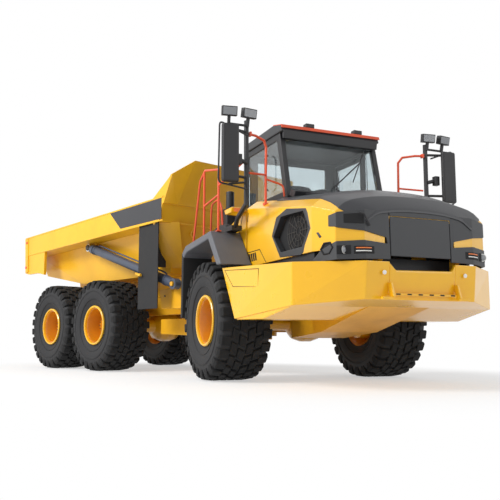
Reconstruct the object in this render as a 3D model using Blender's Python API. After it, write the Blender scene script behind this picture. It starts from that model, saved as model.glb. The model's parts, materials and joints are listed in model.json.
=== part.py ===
"""Six-wheel articulated dump truck: a front unit with cab and hood, steered about an upright pin on a rear unit
with a bogie and a tipping body. Metres, +Z up, nose toward -Y. Built around the steering pin at X = Y = 0 with the
wheels on Z = 0, then shifted so that the origin lies under the middle of the whole machine."""

import math

import bmesh
import bpy
import numpy as np
from mathutils import Matrix, Vector

# Driving dimensions, in metres and degrees.
GAP = 0.0003
RUN = 0.006
TYRE_RADIUS = 0.875
TYRE_WIDTH = 0.775
TYRE_BEAD_RADIUS = 0.38
RIM_DISH_RADIUS = 0.33
TRACK = 2.64
FRONT_AXLE_Y = -1.366
BOGIE_FRONT_Y = 3.135
BOGIE_SPREAD = 1.82
STEER_REST = -18.5
WHEEL_FACETS = 28
AXLE_RADIUS = 0.14

FRAME_RAIL_INNER = 0.34
FRAME_RAIL_OUTER = 0.52
FRAME_BOTTOM = 1.08
FRAME_TOP = 1.42
FRAME_TAIL_Y = 5.62
PIN_RADIUS = 0.07
HITCH_RADIUS = 0.15

BODY_HALF_WIDTH = 1.53
BODY_RAIL_WALL = 0.10
BODY_SIDE_TOP = 1.16
BODY_SIDE_FOOT = 1.03
BODY_PLATE = 0.04
BODY_FRONT_Y = 1.02
BODY_REAR_Y = 6.71
BODY_TOP_FRONT = 3.10
BODY_TOP_REAR = 2.96
BODY_RAIL_DEPTH = 0.42
BODY_FLOOR = 1.80
BODY_KICK_Y = 4.75
BODY_TAIL_FLOOR = 2.12
BODY_FRONT_LEAN = 0.38
GUARD_HEIGHT = 3.70
GUARD_REACH = 0.46
TIP_Y = 5.45
TIP_Z = 1.45
TIP_PIN_RADIUS = 0.05

HOIST_X = 1.30
HOIST_FOOT_Y = 0.98
HOIST_FOOT_Z = 1.56
HOIST_HEAD_Y = 4.04
HOIST_HEAD_Z = 2.50
HOIST_BARREL_RADIUS = 0.085
HOIST_ROD_RADIUS = 0.055

STEER_FOOT_X = 0.62
STEER_FOOT_Y = -1.02
STEER_HEAD_X = 0.42
STEER_HEAD_Y = 0.42
STEER_Z = 0.98
STEER_BARREL_RADIUS = 0.055
STEER_ROD_RADIUS = 0.032
STEER_BARREL_LENGTH = 0.93
STEER_ROD_LENGTH = 0.92

HOOD_HALF_WIDTH = 1.20
HOOD_REAR_Y = -2.60
HOOD_FRONT_Y = -4.34
HOOD_SIDE_REAR_Y = -1.89
HOOD_KNEE_Y = -3.85
HOOD_TOP_KNEE = 2.30
HOOD_CHAMFER = 0.16
HOOD_CHAMFER_DROP = 0.12
HOOD_TOP_REAR = 2.50
HOOD_TOP_FRONT = 2.08
HOOD_FOOT = 1.63
HOOD_PLATE = 0.03
HOOD_PIVOT_Y = -4.28
HOOD_PIVOT_Z = 1.60
FENDER_INNER = HOOD_HALF_WIDTH + 0.012
GRILLE_HALF_WIDTH = 0.50
GRILLE_TOP = 2.00
GRILLE_PIVOT_Y = HOOD_FRONT_Y + 0.015
GRILLE_PIVOT_Z = 1.56
FENDER_REAR = (-0.52, 2.09)
FENDER_PEAK_Y = -1.66
FENDER_PEAK = 2.17

FAN_Y = -3.38
FAN_Z = 1.95
FAN_RADIUS = 0.27

CAB_HALF_WIDTH = 0.82
CAB_REAR_Y = -0.95
CAB_FRONT_FOOT_Y = -2.30
CAB_FRONT_SILL_Y = -2.44
CAB_FRONT_TOP_Y = -2.20
CAB_FLOOR = 1.50
CAB_SILL = 2.62
CAB_TOP = 3.60
CAB_WALL = 0.05
ROOF_THICKNESS = 0.14
GLASS = 0.012
DECK_TOP = 2.21
DECK_PLATE = 0.04
DOOR_FOOT = DECK_TOP + 0.05
DOOR_REAR_Y = CAB_REAR_Y - 0.10
DOOR_FRONT_Y = DOOR_REAR_Y - 0.85
WINDOW_FOOT = CAB_SILL + 0.08
WINDOW_TOP = CAB_TOP - 0.10
PILLAR = 0.08
REAR_WINDOW_HALF_WIDTH = 0.62
REAR_WINDOW_FOOT = 2.55
REAR_WINDOW_TOP = 3.45

POST_X = 1.50
POST_Y = -2.56
POST_TOP = 3.58
POST_RADIUS = 0.035
RAIL_RADIUS = 0.018
RAIL_X = 1.56
RAIL_TOP = 3.10

BOGIE_REAR_Y = BOGIE_FRONT_Y + BOGIE_SPREAD
BOGIE_MID_Y = BOGIE_FRONT_Y + BOGIE_SPREAD / 2
WHEEL_X = TRACK / 2
AXLE_FACETS = 20
AXLE_TOP = TYRE_RADIUS + AXLE_RADIUS * math.cos(math.pi / AXLE_FACETS)
TYRE_INNER_X = WHEEL_X - TYRE_WIDTH / 2
SIDES = (("right", -1), ("left", 1))


def clear_scene():
    for old in list(bpy.data.objects):
        bpy.data.objects.remove(old, do_unlink=True)


def paint(name, colour, roughness, metallic=0.0):
    material = bpy.data.materials.new(name)
    material.use_nodes = True
    shader = material.node_tree.nodes["Principled BSDF"]
    shader.inputs["Base Color"].default_value = (*colour, 1.0)
    shader.inputs["Roughness"].default_value = roughness
    shader.inputs["Metallic"].default_value = metallic
    material.diffuse_color = (*colour, 1.0)
    return material


YELLOW = (0.85, 0.50, 0.02)
CHARCOAL = (0.035, 0.035, 0.04)
RUBBER = (0.015, 0.015, 0.016)
GREY = (0.16, 0.16, 0.17)
STEEL = (0.05, 0.055, 0.075)
ORANGE = (0.70, 0.10, 0.02)
GLASS_TINT = (0.25, 0.30, 0.32)


def empty(name, place, parent=None, turn=0.0):
    pivot = bpy.data.objects.new(name, None)
    bpy.context.collection.objects.link(pivot)
    pivot.location = place
    pivot.rotation_euler.z = math.radians(turn)
    pivot.parent = parent
    return pivot


def solid(name, build, parent, origin=(0, 0, 0), look=(YELLOW, 0.4, 0.0), smooth=False, guide=False):
    """One mesh object whose points are given in its unit's coordinates and whose origin sits at origin."""
    work = bmesh.new()
    build(work)
    bmesh.ops.recalc_face_normals(work, faces=work.faces)
    bmesh.ops.translate(work, verts=work.verts, vec=-Vector(origin))
    mesh = bpy.data.meshes.new(name)
    work.to_mesh(mesh)
    work.free()
    if smooth:
        mesh.shade_smooth()
        mesh.set_sharp_from_angle(angle=math.radians(35))
    piece = bpy.data.objects.new(name, mesh)
    bpy.context.collection.objects.link(piece)
    piece.location = origin
    piece.parent = parent
    if guide:
        piece.hide_render = True
        piece.display_type = "WIRE"
    else:
        mesh.materials.append(paint(name, *look))
    return piece


def combine(piece, operation, name, build):
    """Adds or cuts a guide shape, which shares the piece's parent and origin."""
    guide = solid(name, build, piece.parent, piece.location, guide=True)
    boolean = piece.modifiers.new(name, "BOOLEAN")
    boolean.operation = operation
    boolean.solver = "EXACT"
    boolean.object = guide


def box(x, y, z):
    """A box between pairs of limits."""

    def build(work):
        corners = [work.verts.new((i, j, k)) for i in x for j in y for k in z]
        for face in ((0, 1, 3, 2), (4, 6, 7, 5), (0, 4, 5, 1), (2, 3, 7, 6), (0, 2, 6, 4), (1, 5, 7, 3)):
            work.faces.new([corners[i] for i in face])

    return build


def rings(loops, closed=False):
    """A skin over loops of equal length, capped at both ends unless it closes on itself."""

    def build(work):
        rows = [[work.verts.new(point) for point in loop] for loop in loops]
        pairs = list(zip(rows, rows[1:]))
        if closed:
            pairs.append((rows[-1], rows[0]))
        else:
            work.faces.new(rows[0])
            work.faces.new(rows[-1])
        for first, second in pairs:
            count = len(first)
            for i in range(count):
                work.faces.new((first[i], first[(i + 1) % count], second[(i + 1) % count], second[i]))

    return build


def side_plate(profile, x):
    """A (y, z) outline pushed between two x limits."""
    return rings([[(limit, y, z) for y, z in profile] for limit in x])


def plan_plate(outline, z):
    """An (x, y) outline pushed between two heights."""
    return rings([[(x, y, limit) for x, y in outline] for limit in z])


def round_bar(start, end, radius, segments=12, end_radius=None):
    """A cylinder or cone between two points."""
    start = Vector(start)
    end = Vector(end)
    way = (end - start).normalized()
    across = way.orthogonal().normalized()
    up = way.cross(across)

    def loop(centre, size):
        turns = [2 * math.pi * i / segments for i in range(segments)]
        return [centre + size * (math.cos(a) * across + math.sin(a) * up) for a in turns]

    return rings([loop(start, radius), loop(end, radius if end_radius is None else end_radius)])


def tube_path(points, radius, segments=8):
    """A round tube that follows a list of points, with its rings halfway between neighbouring runs."""
    points = [Vector(point) for point in points]
    loops = []
    across = None
    for i, point in enumerate(points):
        before = (point - points[i - 1]).normalized() if i else (points[1] - point).normalized()
        after = (points[i + 1] - point).normalized() if i + 1 < len(points) else before
        way = (before + after).normalized()
        if across is None:
            across = before.orthogonal().normalized()
        across = (across - across.dot(before) * before).normalized()
        side = before.cross(across)
        loop = []
        for k in range(segments):
            turn = 2 * math.pi * k / segments
            out = math.cos(turn) * across + math.sin(turn) * side
            slide = -out.dot(way) / way.dot(before)
            loop.append(point + radius * (out + slide * before))
        loops.append(loop)
        across = (across - across.dot(after) * after).normalized()
    return rings(loops)


def turned(profile, centre, segments, ring=False):
    """Turns a profile of (x, radius) points about the X axis through centre."""
    centre = Vector(centre)

    def build(work):
        loops = []
        for x, radius in profile:
            if radius == 0:
                loops.append([work.verts.new(centre + Vector((x, 0, 0)))])
            else:
                turns = [2 * math.pi * (i + 0.5) / segments for i in range(segments)]
                points = [Vector((x, radius * math.sin(a), radius * math.cos(a))) for a in turns]
                loops.append([work.verts.new(centre + point) for point in points])
        pairs = list(zip(loops, loops[1:]))
        if ring:
            pairs.append((loops[-1], loops[0]))
        for first, second in pairs:
            for i in range(segments):
                j = (i + 1) % segments
                if len(first) == 1:
                    work.faces.new((first[0], second[i], second[j]))
                elif len(second) == 1:
                    work.faces.new((first[i], first[j], second[0]))
                else:
                    work.faces.new((first[i], first[j], second[j], second[i]))

    return build


def mirrored(profile, side):
    return [(side * x, radius) for x, radius in profile]


# Wheels


def make_wheel(place, side, y, unit):
    centre = (side * WHEEL_X, y, TYRE_RADIUS)
    half = TYRE_WIDTH / 2
    seat = half - 0.055
    tread = TYRE_RADIUS / math.cos(math.pi / WHEEL_FACETS)
    shoulder = tread - 0.07
    tyre = [
        (-seat, TYRE_BEAD_RADIUS),
        (-half, TYRE_BEAD_RADIUS + 0.2),
        (-half, shoulder),
        (-seat, tread),
        (seat, tread),
        (half, shoulder),
        (half, TYRE_BEAD_RADIUS + 0.2),
        (seat, TYRE_BEAD_RADIUS),
    ]
    hub = empty(f"hub_{place}", centre, unit)
    solid(f"tyre_{place}", turned(tyre, (0, 0, 0), WHEEL_FACETS, ring=True), hub, look=(RUBBER, 0.85), smooth=True)
    lip = seat + 0.012
    face = lip + 0.02
    rim = [
        (0.26, 0.0),
        (0.26, 0.13),
        (0.12, 0.17),
        (0.08, RIM_DISH_RADIUS - 0.05),
        (face - 0.03, RIM_DISH_RADIUS + 0.01),
        (face, TYRE_BEAD_RADIUS - 0.03),
        (face, TYRE_BEAD_RADIUS + 0.03),
        (lip, TYRE_BEAD_RADIUS + 0.03),
        (lip, TYRE_BEAD_RADIUS - GAP),
        (-face, TYRE_BEAD_RADIUS - GAP),
        (-face, RIM_DISH_RADIUS),
        (0.02, RIM_DISH_RADIUS),
        (0.02, 0.0),
    ]
    solid(f"rim_{place}", turned(mirrored(rim, side), (0, 0, 0), WHEEL_FACETS), hub, look=(YELLOW, 0.4), smooth=True)


def make_axle(name, y, unit):
    drum = RIM_DISH_RADIUS - 0.08
    end = WHEEL_X + 0.02 - RUN
    half = [(end, 0.0), (end, drum), (TYRE_INNER_X + 0.02, drum), (TYRE_INNER_X - 0.04, AXLE_RADIUS)]
    half += [(FRAME_RAIL_INNER - 0.02, AXLE_RADIUS), (0.2, 0.27), (0.07, 0.31)]
    profile = half + [(-x, radius) for x, radius in reversed(half)]
    look = (YELLOW, 0.5)
    return solid(name, turned(profile, (0, y, TYRE_RADIUS), AXLE_FACETS), unit, look=look, smooth=True)


# Rear unit


def make_rear_frame(unit):
    rail_y = (0.50, FRAME_TAIL_Y)
    height = (FRAME_BOTTOM, FRAME_TOP)
    right = (-FRAME_RAIL_OUTER, -FRAME_RAIL_INNER)
    left = (FRAME_RAIL_INNER, FRAME_RAIL_OUTER)
    frame = solid("rear_frame", box(right, rail_y, height), unit, look=(YELLOW, 0.45))
    combine(frame, "UNION", "frame_rail_left", box(left, rail_y, height))
    head = [(0.28, 0.62), (0.75, 0.62), (1.6, 0.95), (1.6, FRAME_TOP), (0.75, 1.50), (0.28, 1.50)]
    combine(frame, "UNION", "frame_head", side_plate(head, (-0.26, 0.26)))
    inner = FRAME_RAIL_OUTER - 0.02
    for count, y in enumerate((0.85, BOGIE_MID_Y - 1.4, BOGIE_MID_Y, FRAME_TAIL_Y - 0.14)):
        cross = box((-inner, inner), (y - 0.1, y + 0.1), (FRAME_BOTTOM + 0.03, FRAME_TOP - 0.03))
        combine(frame, "UNION", f"frame_cross_{count}", cross)
    trunnion = FRAME_RAIL_OUTER + 0.08 - GAP
    ends = [(-trunnion, BOGIE_MID_Y, 1.22), (trunnion, BOGIE_MID_Y, 1.22)]
    combine(frame, "UNION", "frame_trunnion", round_bar(*ends, 0.09, 16))
    for name, z in (("lower", (0.66, 0.78)), ("upper", (1.34, 1.46))):
        arc = [math.radians(180 + 15 * i) for i in range(13)]
        outline = [(HITCH_RADIUS * math.cos(a), HITCH_RADIUS * math.sin(a)) for a in arc]
        outline += [(HITCH_RADIUS, 0.35), (-HITCH_RADIUS, 0.35)]
        combine(frame, "UNION", f"hitch_plate_{name}", plan_plate(outline, z))
    combine(frame, "UNION", "hitch_pin", round_bar((0, 0, 0.60), (0, 0, 1.50), PIN_RADIUS, 16))
    pin = FRAME_RAIL_OUTER + 0.13
    bar = round_bar((-pin, TIP_Y, TIP_Z), (pin, TIP_Y, TIP_Z), TIP_PIN_RADIUS, 16)
    combine(frame, "UNION", "tip_pin", bar)
    for name, side in SIDES:
        bearing = (side * (FRAME_RAIL_INNER + 0.03), side * (FRAME_RAIL_OUTER - 0.01))
        outline = [(TIP_Y - 0.14, FRAME_TOP - 0.05), (TIP_Y + 0.14, FRAME_TOP - 0.05)]
        outline += [(TIP_Y + 0.07, TIP_Z + 0.08), (TIP_Y - 0.07, TIP_Z + 0.08)]
        combine(frame, "UNION", f"tip_bearing_{name}", side_plate(outline, bearing))
        foot_y = (HOIST_FOOT_Y - 0.06, HOIST_FOOT_Y + 0.28)
        arm = box((side * 0.30, side * (HOIST_X - 0.12)), foot_y, (HOIST_FOOT_Z - 0.42, HOIST_FOOT_Z - 0.12))
        combine(frame, "UNION", f"hoist_arm_{name}", arm)
        plate = [(HOIST_FOOT_Y - 0.07, HOIST_FOOT_Z - 0.42), (HOIST_FOOT_Y + 0.26, HOIST_FOOT_Z - 0.42)]
        plate += [(HOIST_FOOT_Y + 0.10, HOIST_FOOT_Z + 0.09), (HOIST_FOOT_Y - 0.07, HOIST_FOOT_Z + 0.09)]
        cheek = (side * (HOIST_X - 0.16), side * (HOIST_X - 0.10))
        combine(frame, "UNION", f"hoist_cheek_{name}", side_plate(plate, cheek))
        pin = round_bar(
            (side * (HOIST_X - 0.13), HOIST_FOOT_Y, HOIST_FOOT_Z),
            (side * (HOIST_X + 0.09), HOIST_FOOT_Y, HOIST_FOOT_Z),
            0.04,
        )
        combine(frame, "UNION", f"hoist_pin_{name}", pin)
        combine(
            frame,
            "UNION",
            f"steer_arm_{name}",
            box((side * 0.20, side * (STEER_HEAD_X + 0.08)), (0.34, 0.56), (STEER_Z + 0.06, STEER_Z + 0.14)),
        )


def make_bogie(unit):
    beam = [
        (BOGIE_FRONT_Y - 0.26, AXLE_TOP + GAP),
        (BOGIE_REAR_Y + 0.26, AXLE_TOP + GAP),
        (BOGIE_REAR_Y + 0.26, 1.16),
        (BOGIE_MID_Y + 0.35, 1.36),
        (BOGIE_MID_Y - 0.35, 1.36),
        (BOGIE_FRONT_Y - 0.26, 1.16),
    ]
    inner = FRAME_RAIL_OUTER + 0.08
    for name, side in SIDES:
        limits = (side * inner, side * (inner + 0.2))
        solid(f"bogie_beam_{name}", side_plate(beam, limits), unit, look=(YELLOW, 0.45))
    make_axle("bogie_front_axle", BOGIE_FRONT_Y, unit)
    make_axle("bogie_rear_axle", BOGIE_REAR_Y, unit)


def body_top(y):
    share = (y - BODY_FRONT_Y) / (BODY_REAR_Y - BODY_FRONT_Y)
    return BODY_TOP_FRONT + share * (BODY_TOP_REAR - BODY_TOP_FRONT)


def body_floor(y):
    climb = (BODY_TAIL_FLOOR - BODY_FLOOR) / (BODY_REAR_Y - BODY_KICK_Y)
    return BODY_FLOOR + max(0.0, y - BODY_KICK_Y) * climb


def rail_foot(y):
    """The underside of the body's top rail between its front and the kick in the floor."""
    front = BODY_FRONT_Y + BODY_FRONT_LEAN * BODY_RAIL_DEPTH
    share = (y - front) / (BODY_KICK_Y - front)
    return (1 - share) * body_top(BODY_FRONT_Y) + share * body_top(BODY_KICK_Y) - BODY_RAIL_DEPTH


def body_station(y, lean, grow=0.0, wall=0.0):
    """A cross-section of the body. wall moves it inward, and lean moves its low points along Y."""
    top = body_top(y)
    floor = body_floor(y + lean * (top - body_floor(y)))
    rail = top - BODY_RAIL_DEPTH
    edge = BODY_HALF_WIDTH - (BODY_RAIL_WALL if wall else 0.0)
    ledge = 0.08 if wall else 0.0
    half = [
        (edge, top + grow),
        (edge, rail + ledge),
        (BODY_SIDE_TOP - wall, rail - 0.02 + ledge),
        (BODY_SIDE_FOOT - wall, floor + wall),
    ]
    points = half + [(-x, z) for x, z in reversed(half)]
    return [(x, y + lean * (top - z), z) for x, z in points]


def guard_line(half, corner_half, side_y, front_y, side_z, top_z, thickness):
    """The spill guard's folded plate at one height, as a closed loop that goes out along its front and back."""
    front = [(half, side_y, side_z), (corner_half, front_y, top_z)]
    front += [(-x, y, z) for x, y, z in reversed(front)]
    return front + [(x, y + thickness, z) for x, y, z in reversed(front)]


def make_body(unit):
    origin = (0, TIP_Y, TIP_Z)
    tail_lean = -0.22
    outer = [
        body_station(BODY_FRONT_Y, BODY_FRONT_LEAN),
        body_station(BODY_KICK_Y, 0.0),
        body_station(BODY_REAR_Y, tail_lean),
    ]
    hollow = [
        body_station(BODY_FRONT_Y + 0.06, BODY_FRONT_LEAN, 0.6, BODY_PLATE),
        body_station(BODY_KICK_Y, 0.0, 0.6, BODY_PLATE),
        body_station(BODY_REAR_Y + 0.5, tail_lean, 0.6, BODY_PLATE),
    ]
    body = solid("dump_body", rings(outer), unit, origin, look=(YELLOW, 0.4))
    combine(body, "DIFFERENCE", "body_hollow", rings(hollow))
    plate = 0.045
    base = guard_line(BODY_HALF_WIDTH, 1.24, BODY_FRONT_Y + 0.02, BODY_FRONT_Y, 2.98, 2.98, plate)
    fold = guard_line(BODY_HALF_WIDTH - 0.02, 1.20, 0.82, GUARD_REACH + 0.10, 3.46, GUARD_HEIGHT, plate)
    combine(body, "UNION", "spill_guard", rings([base, fold]))
    for name, side in SIDES:
        wing = [(BODY_FRONT_Y + 0.03, 3.0), (BODY_FRONT_Y + 0.42, 3.0), (BODY_FRONT_Y + 0.36, 3.12), (0.86, 3.44)]
        limits = (side * (BODY_HALF_WIDTH - 0.06), side * (BODY_HALF_WIDTH - 0.015))
        combine(body, "UNION", f"guard_wing_{name}", side_plate(wing, limits))
        sill = [(1.75, FRAME_TOP + 0.012), (TIP_Y - 0.45, FRAME_TOP + 0.012)]
        sill += [(TIP_Y - 0.45, 1.95), (BODY_KICK_Y, BODY_FLOOR + 0.02), (1.75, BODY_FLOOR + 0.02)]
        limits = (side * (FRAME_RAIL_INNER + 0.02), side * (FRAME_RAIL_OUTER - 0.02))
        combine(body, "UNION", f"body_sill_{name}", side_plate(sill, limits))
        lug = [(TIP_Y - 0.16, TIP_Z - 0.03), (TIP_Y - 0.07, TIP_Z - 0.11), (TIP_Y + 0.07, TIP_Z - 0.11)]
        lug += [(TIP_Y + 0.16, TIP_Z - 0.03), (TIP_Y + 0.30, 2.02), (TIP_Y - 0.30, 1.98)]
        limits = (side * (FRAME_RAIL_OUTER + RUN + 0.01), side * (FRAME_RAIL_OUTER + 0.09))
        combine(body, "UNION", f"tip_lug_{name}", side_plate(lug, limits))
        boss = round_bar(
            (side * (BODY_SIDE_TOP - 0.08), HOIST_HEAD_Y, HOIST_HEAD_Z),
            (side * (HOIST_X - 0.07), HOIST_HEAD_Y, HOIST_HEAD_Z),
            0.08,
        )
        combine(body, "UNION", f"hoist_boss_{name}", boss)
    bore = FRAME_RAIL_OUTER + 0.2
    hole = round_bar((-bore, TIP_Y, TIP_Z), (bore, TIP_Y, TIP_Z), TIP_PIN_RADIUS + RUN, 16)
    combine(body, "DIFFERENCE", "tip_bore", hole)
    for name, side in SIDES:
        flap = [(1.24, 1.14), (1.86, 1.14), (1.86, rail_foot(1.86) - 0.004), (1.24, rail_foot(1.24) - 0.004)]
        limits = (side * (BODY_HALF_WIDTH - 0.05), side * (BODY_HALF_WIDTH - 0.035))
        solid(f"mud_flap_{name}", side_plate(flap, limits), unit, origin, look=(RUBBER, 0.8))


def make_hoist(unit):
    """Each barrel turns on its foot pin, and its rod slides out toward the body."""
    run = Vector((0, HOIST_HEAD_Y - HOIST_FOOT_Y, HOIST_HEAD_Z - HOIST_FOOT_Z))
    length = run.length
    way = run.normalized()
    for name, side in SIDES:
        foot = Vector((side * HOIST_X, HOIST_FOOT_Y, HOIST_FOOT_Z))
        head = foot + run
        mouth = foot + way * (length - 0.14)
        look = (STEEL, 0.35, 0.3)
        barrel = round_bar(foot + way * 0.05, mouth, HOIST_BARREL_RADIUS, 16)
        piece = solid(f"hoist_barrel_{name}", barrel, unit, foot, look=look, smooth=True)
        across = Vector((0.06, 0, 0))
        combine(piece, "UNION", f"hoist_foot_eye_{name}", round_bar(foot - across, foot + across, 0.095, 16))
        bore = round_bar(foot + way * 0.16, mouth + way * 0.1, HOIST_ROD_RADIUS + RUN + 0.003, 16)
        combine(piece, "DIFFERENCE", f"hoist_bore_{name}", bore)
        hole = round_bar(foot - across * 2, foot + across * 2, 0.04 + RUN + 0.003, 12)
        combine(piece, "DIFFERENCE", f"hoist_foot_hole_{name}", hole)
        rod = round_bar(foot + way * 0.18, head - way * 0.03, HOIST_ROD_RADIUS, 12)
        piece = solid(f"hoist_rod_{name}", rod, unit, head, look=((0.5, 0.5, 0.52), 0.2, 0.9), smooth=True)
        across = Vector((0.05, 0, 0))
        combine(piece, "UNION", f"hoist_head_eye_{name}", round_bar(head - across, head + across, 0.085, 16))


def make_steering(front):
    """The barrels turn on the front unit. Their rods reach under the rear unit's steering arms."""
    turn = Matrix.Rotation(math.radians(-STEER_REST), 3, "Z")
    for name, side in SIDES:
        foot = Vector((side * STEER_FOOT_X, STEER_FOOT_Y, STEER_Z))
        head = turn @ Vector((side * STEER_HEAD_X, STEER_HEAD_Y, STEER_Z))
        way = (head - foot).normalized()
        up = Vector((0, 0, 0.045))
        mouth = foot + way * STEER_BARREL_LENGTH
        look = (CHARCOAL, 0.4, 0.2)
        barrel = round_bar(foot + way * 0.04, mouth, STEER_BARREL_RADIUS, 12)
        piece = solid(f"steer_barrel_{name}", barrel, front, foot, look=look, smooth=True)
        combine(piece, "UNION", f"steer_foot_eye_{name}", round_bar(foot - up, foot + up, 0.075, 12))
        bore = round_bar(foot + way * 0.13, mouth + way * 0.1, STEER_ROD_RADIUS + RUN + 0.003, 12)
        combine(piece, "DIFFERENCE", f"steer_bore_{name}", bore)
        hole = round_bar(foot - 2 * up, foot + 2 * up, 0.03 + RUN + 0.003, 12)
        combine(piece, "DIFFERENCE", f"steer_foot_hole_{name}", hole)
        rod = round_bar(head - way * STEER_ROD_LENGTH, head - way * 0.02, STEER_ROD_RADIUS, 10)
        piece = solid(f"steer_rod_{name}", rod, front, head, look=((0.5, 0.5, 0.52), 0.2, 0.9), smooth=True)
        combine(piece, "UNION", f"steer_head_eye_{name}", round_bar(head - up, head + up, 0.06, 12))


# Front unit


def make_front_frame(unit):
    rail_y = (-3.95, -0.45)
    height = (FRAME_BOTTOM, FRAME_TOP)
    right = (-FRAME_RAIL_OUTER, -FRAME_RAIL_INNER)
    left = (FRAME_RAIL_INNER, FRAME_RAIL_OUTER)
    frame = solid("front_frame", box(right, rail_y, height), unit, look=(YELLOW, 0.45))
    combine(frame, "UNION", "front_rail_left", box(left, rail_y, height))
    inner = FRAME_RAIL_OUTER - 0.02
    crosses = (("rear", (-0.66, -0.48)), ("middle", (-2.2, -2.0)), ("nose", (-3.9, -3.7)))
    for name, limits in crosses:
        cross = box((-inner, inner), limits, (FRAME_BOTTOM + 0.03, FRAME_TOP - 0.03))
        combine(frame, "UNION", f"front_cross_{name}", cross)
    knuckle = box((-0.26, 0.26), (-0.64, -0.47), (0.72, 1.37))
    combine(frame, "UNION", "hitch_seat", knuckle)
    guard = [(-3.92, 1.16), (-3.92, 1.0), (-2.7, 0.70), (-1.80, 0.62), (-1.80, 1.16)]
    combine(frame, "UNION", "belly_guard", side_plate(guard, (-0.45, 0.45)))
    for name, side in SIDES:
        along = (STEER_FOOT_Y - 0.10, STEER_FOOT_Y + 0.10)
        hanger = (side * (STEER_FOOT_X + 0.085), side * (STEER_FOOT_X + 0.14))
        combine(frame, "UNION", f"steer_hanger_{name}", box(hanger, along, (STEER_Z - 0.09, 1.32)))
        arm = (side * (FRAME_RAIL_OUTER - 0.03), side * (STEER_FOOT_X + 0.12))
        combine(frame, "UNION", f"steer_hanger_arm_{name}", box(arm, along, (1.16, 1.30)))
        reach = (side * (STEER_FOOT_X - 0.08), side * (STEER_FOOT_X + 0.12))
        for place, z in (("low", (STEER_Z - 0.085, STEER_Z - 0.055)), ("high", (STEER_Z + 0.055, STEER_Z + 0.08))):
            combine(frame, "UNION", f"steer_clevis_{place}_{name}", box(reach, along, z))
        x = side * STEER_FOOT_X
        pin = round_bar((x, STEER_FOOT_Y, STEER_Z - 0.07), (x, STEER_FOOT_Y, STEER_Z + 0.07), 0.03, 10)
        combine(frame, "UNION", f"steer_foot_pin_{name}", pin)
        bracket = box((side * 0.48, side * (1.20 - GAP)), (-3.30, -3.10), (1.20, 1.36))
        combine(frame, "UNION", f"bumper_bracket_{name}", bracket)
        nose = box((side * 0.45, side * 0.59), (-4.30, -3.85), (1.30, FRAME_TOP - 0.02))
        combine(frame, "UNION", f"nose_arm_{name}", nose)
        ear = [(-4.30, 1.32), (-4.20, 1.32), (-4.22, 1.64), (-4.305, 1.64), (-4.305, 1.595), (-4.345, 1.595)]
        ear += [(-4.345, 1.525), (-4.30, 1.50)]
        combine(frame, "UNION", f"nose_ear_{name}", side_plate(ear, (side * 0.525, side * 0.585)))
        pivot = (HOOD_PIVOT_Y, HOOD_PIVOT_Z)
        pin = round_bar((side * 0.56, *pivot), (side * 0.68, *pivot), 0.016, 10)
        combine(frame, "UNION", f"hood_pin_{name}", pin)
        pivot = (GRILLE_PIVOT_Y, GRILLE_PIVOT_Z)
        pin = round_bar((side * 0.56, *pivot), (side * (GRILLE_HALF_WIDTH + 0.001), *pivot), 0.012, 10)
        combine(frame, "UNION", f"grille_pin_{name}", pin)
        limits = (side * (FRAME_RAIL_INNER + 0.02), side * (FRAME_RAIL_OUTER - 0.02))
        pad = box(limits, (FRONT_AXLE_Y - 0.07, FRONT_AXLE_Y + 0.07), (AXLE_TOP + GAP, FRAME_BOTTOM + 0.03))
        combine(frame, "UNION", f"axle_pad_{name}", pad)


def make_hitch(unit):
    arc = [math.radians(15 * i) for i in range(13)]
    outline = [(0.14 * math.cos(a), 0.14 * math.sin(a)) for a in arc]
    outline += [(-0.22, -0.47 + GAP), (0.22, -0.47 + GAP)]
    z = (0.78 + RUN, 1.34 - RUN)
    hitch = solid("hitch", plan_plate(outline, z), unit, look=(CHARCOAL, 0.5, 0.3))
    bore = round_bar((0, 0, 0.6), (0, 0, 1.5), PIN_RADIUS + RUN, 16)
    combine(hitch, "DIFFERENCE", "hitch_bore", bore)


def make_engine(unit):
    block = box((-0.30, 0.30), (-3.75, -2.55), (FRAME_TOP + 0.02, 2.02))
    engine = solid("engine_block", block, unit, look=(GREY, 0.5, 0.4))
    foot = box((-0.45, 0.45), (-3.5, -2.8), (FRAME_TOP + GAP, FRAME_TOP + 0.10))
    combine(engine, "UNION", "engine_feet", foot)
    combine(engine, "UNION", "engine_sump", box((-0.22, 0.22), (-3.5, -2.7), (1.2, 1.5)))


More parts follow.
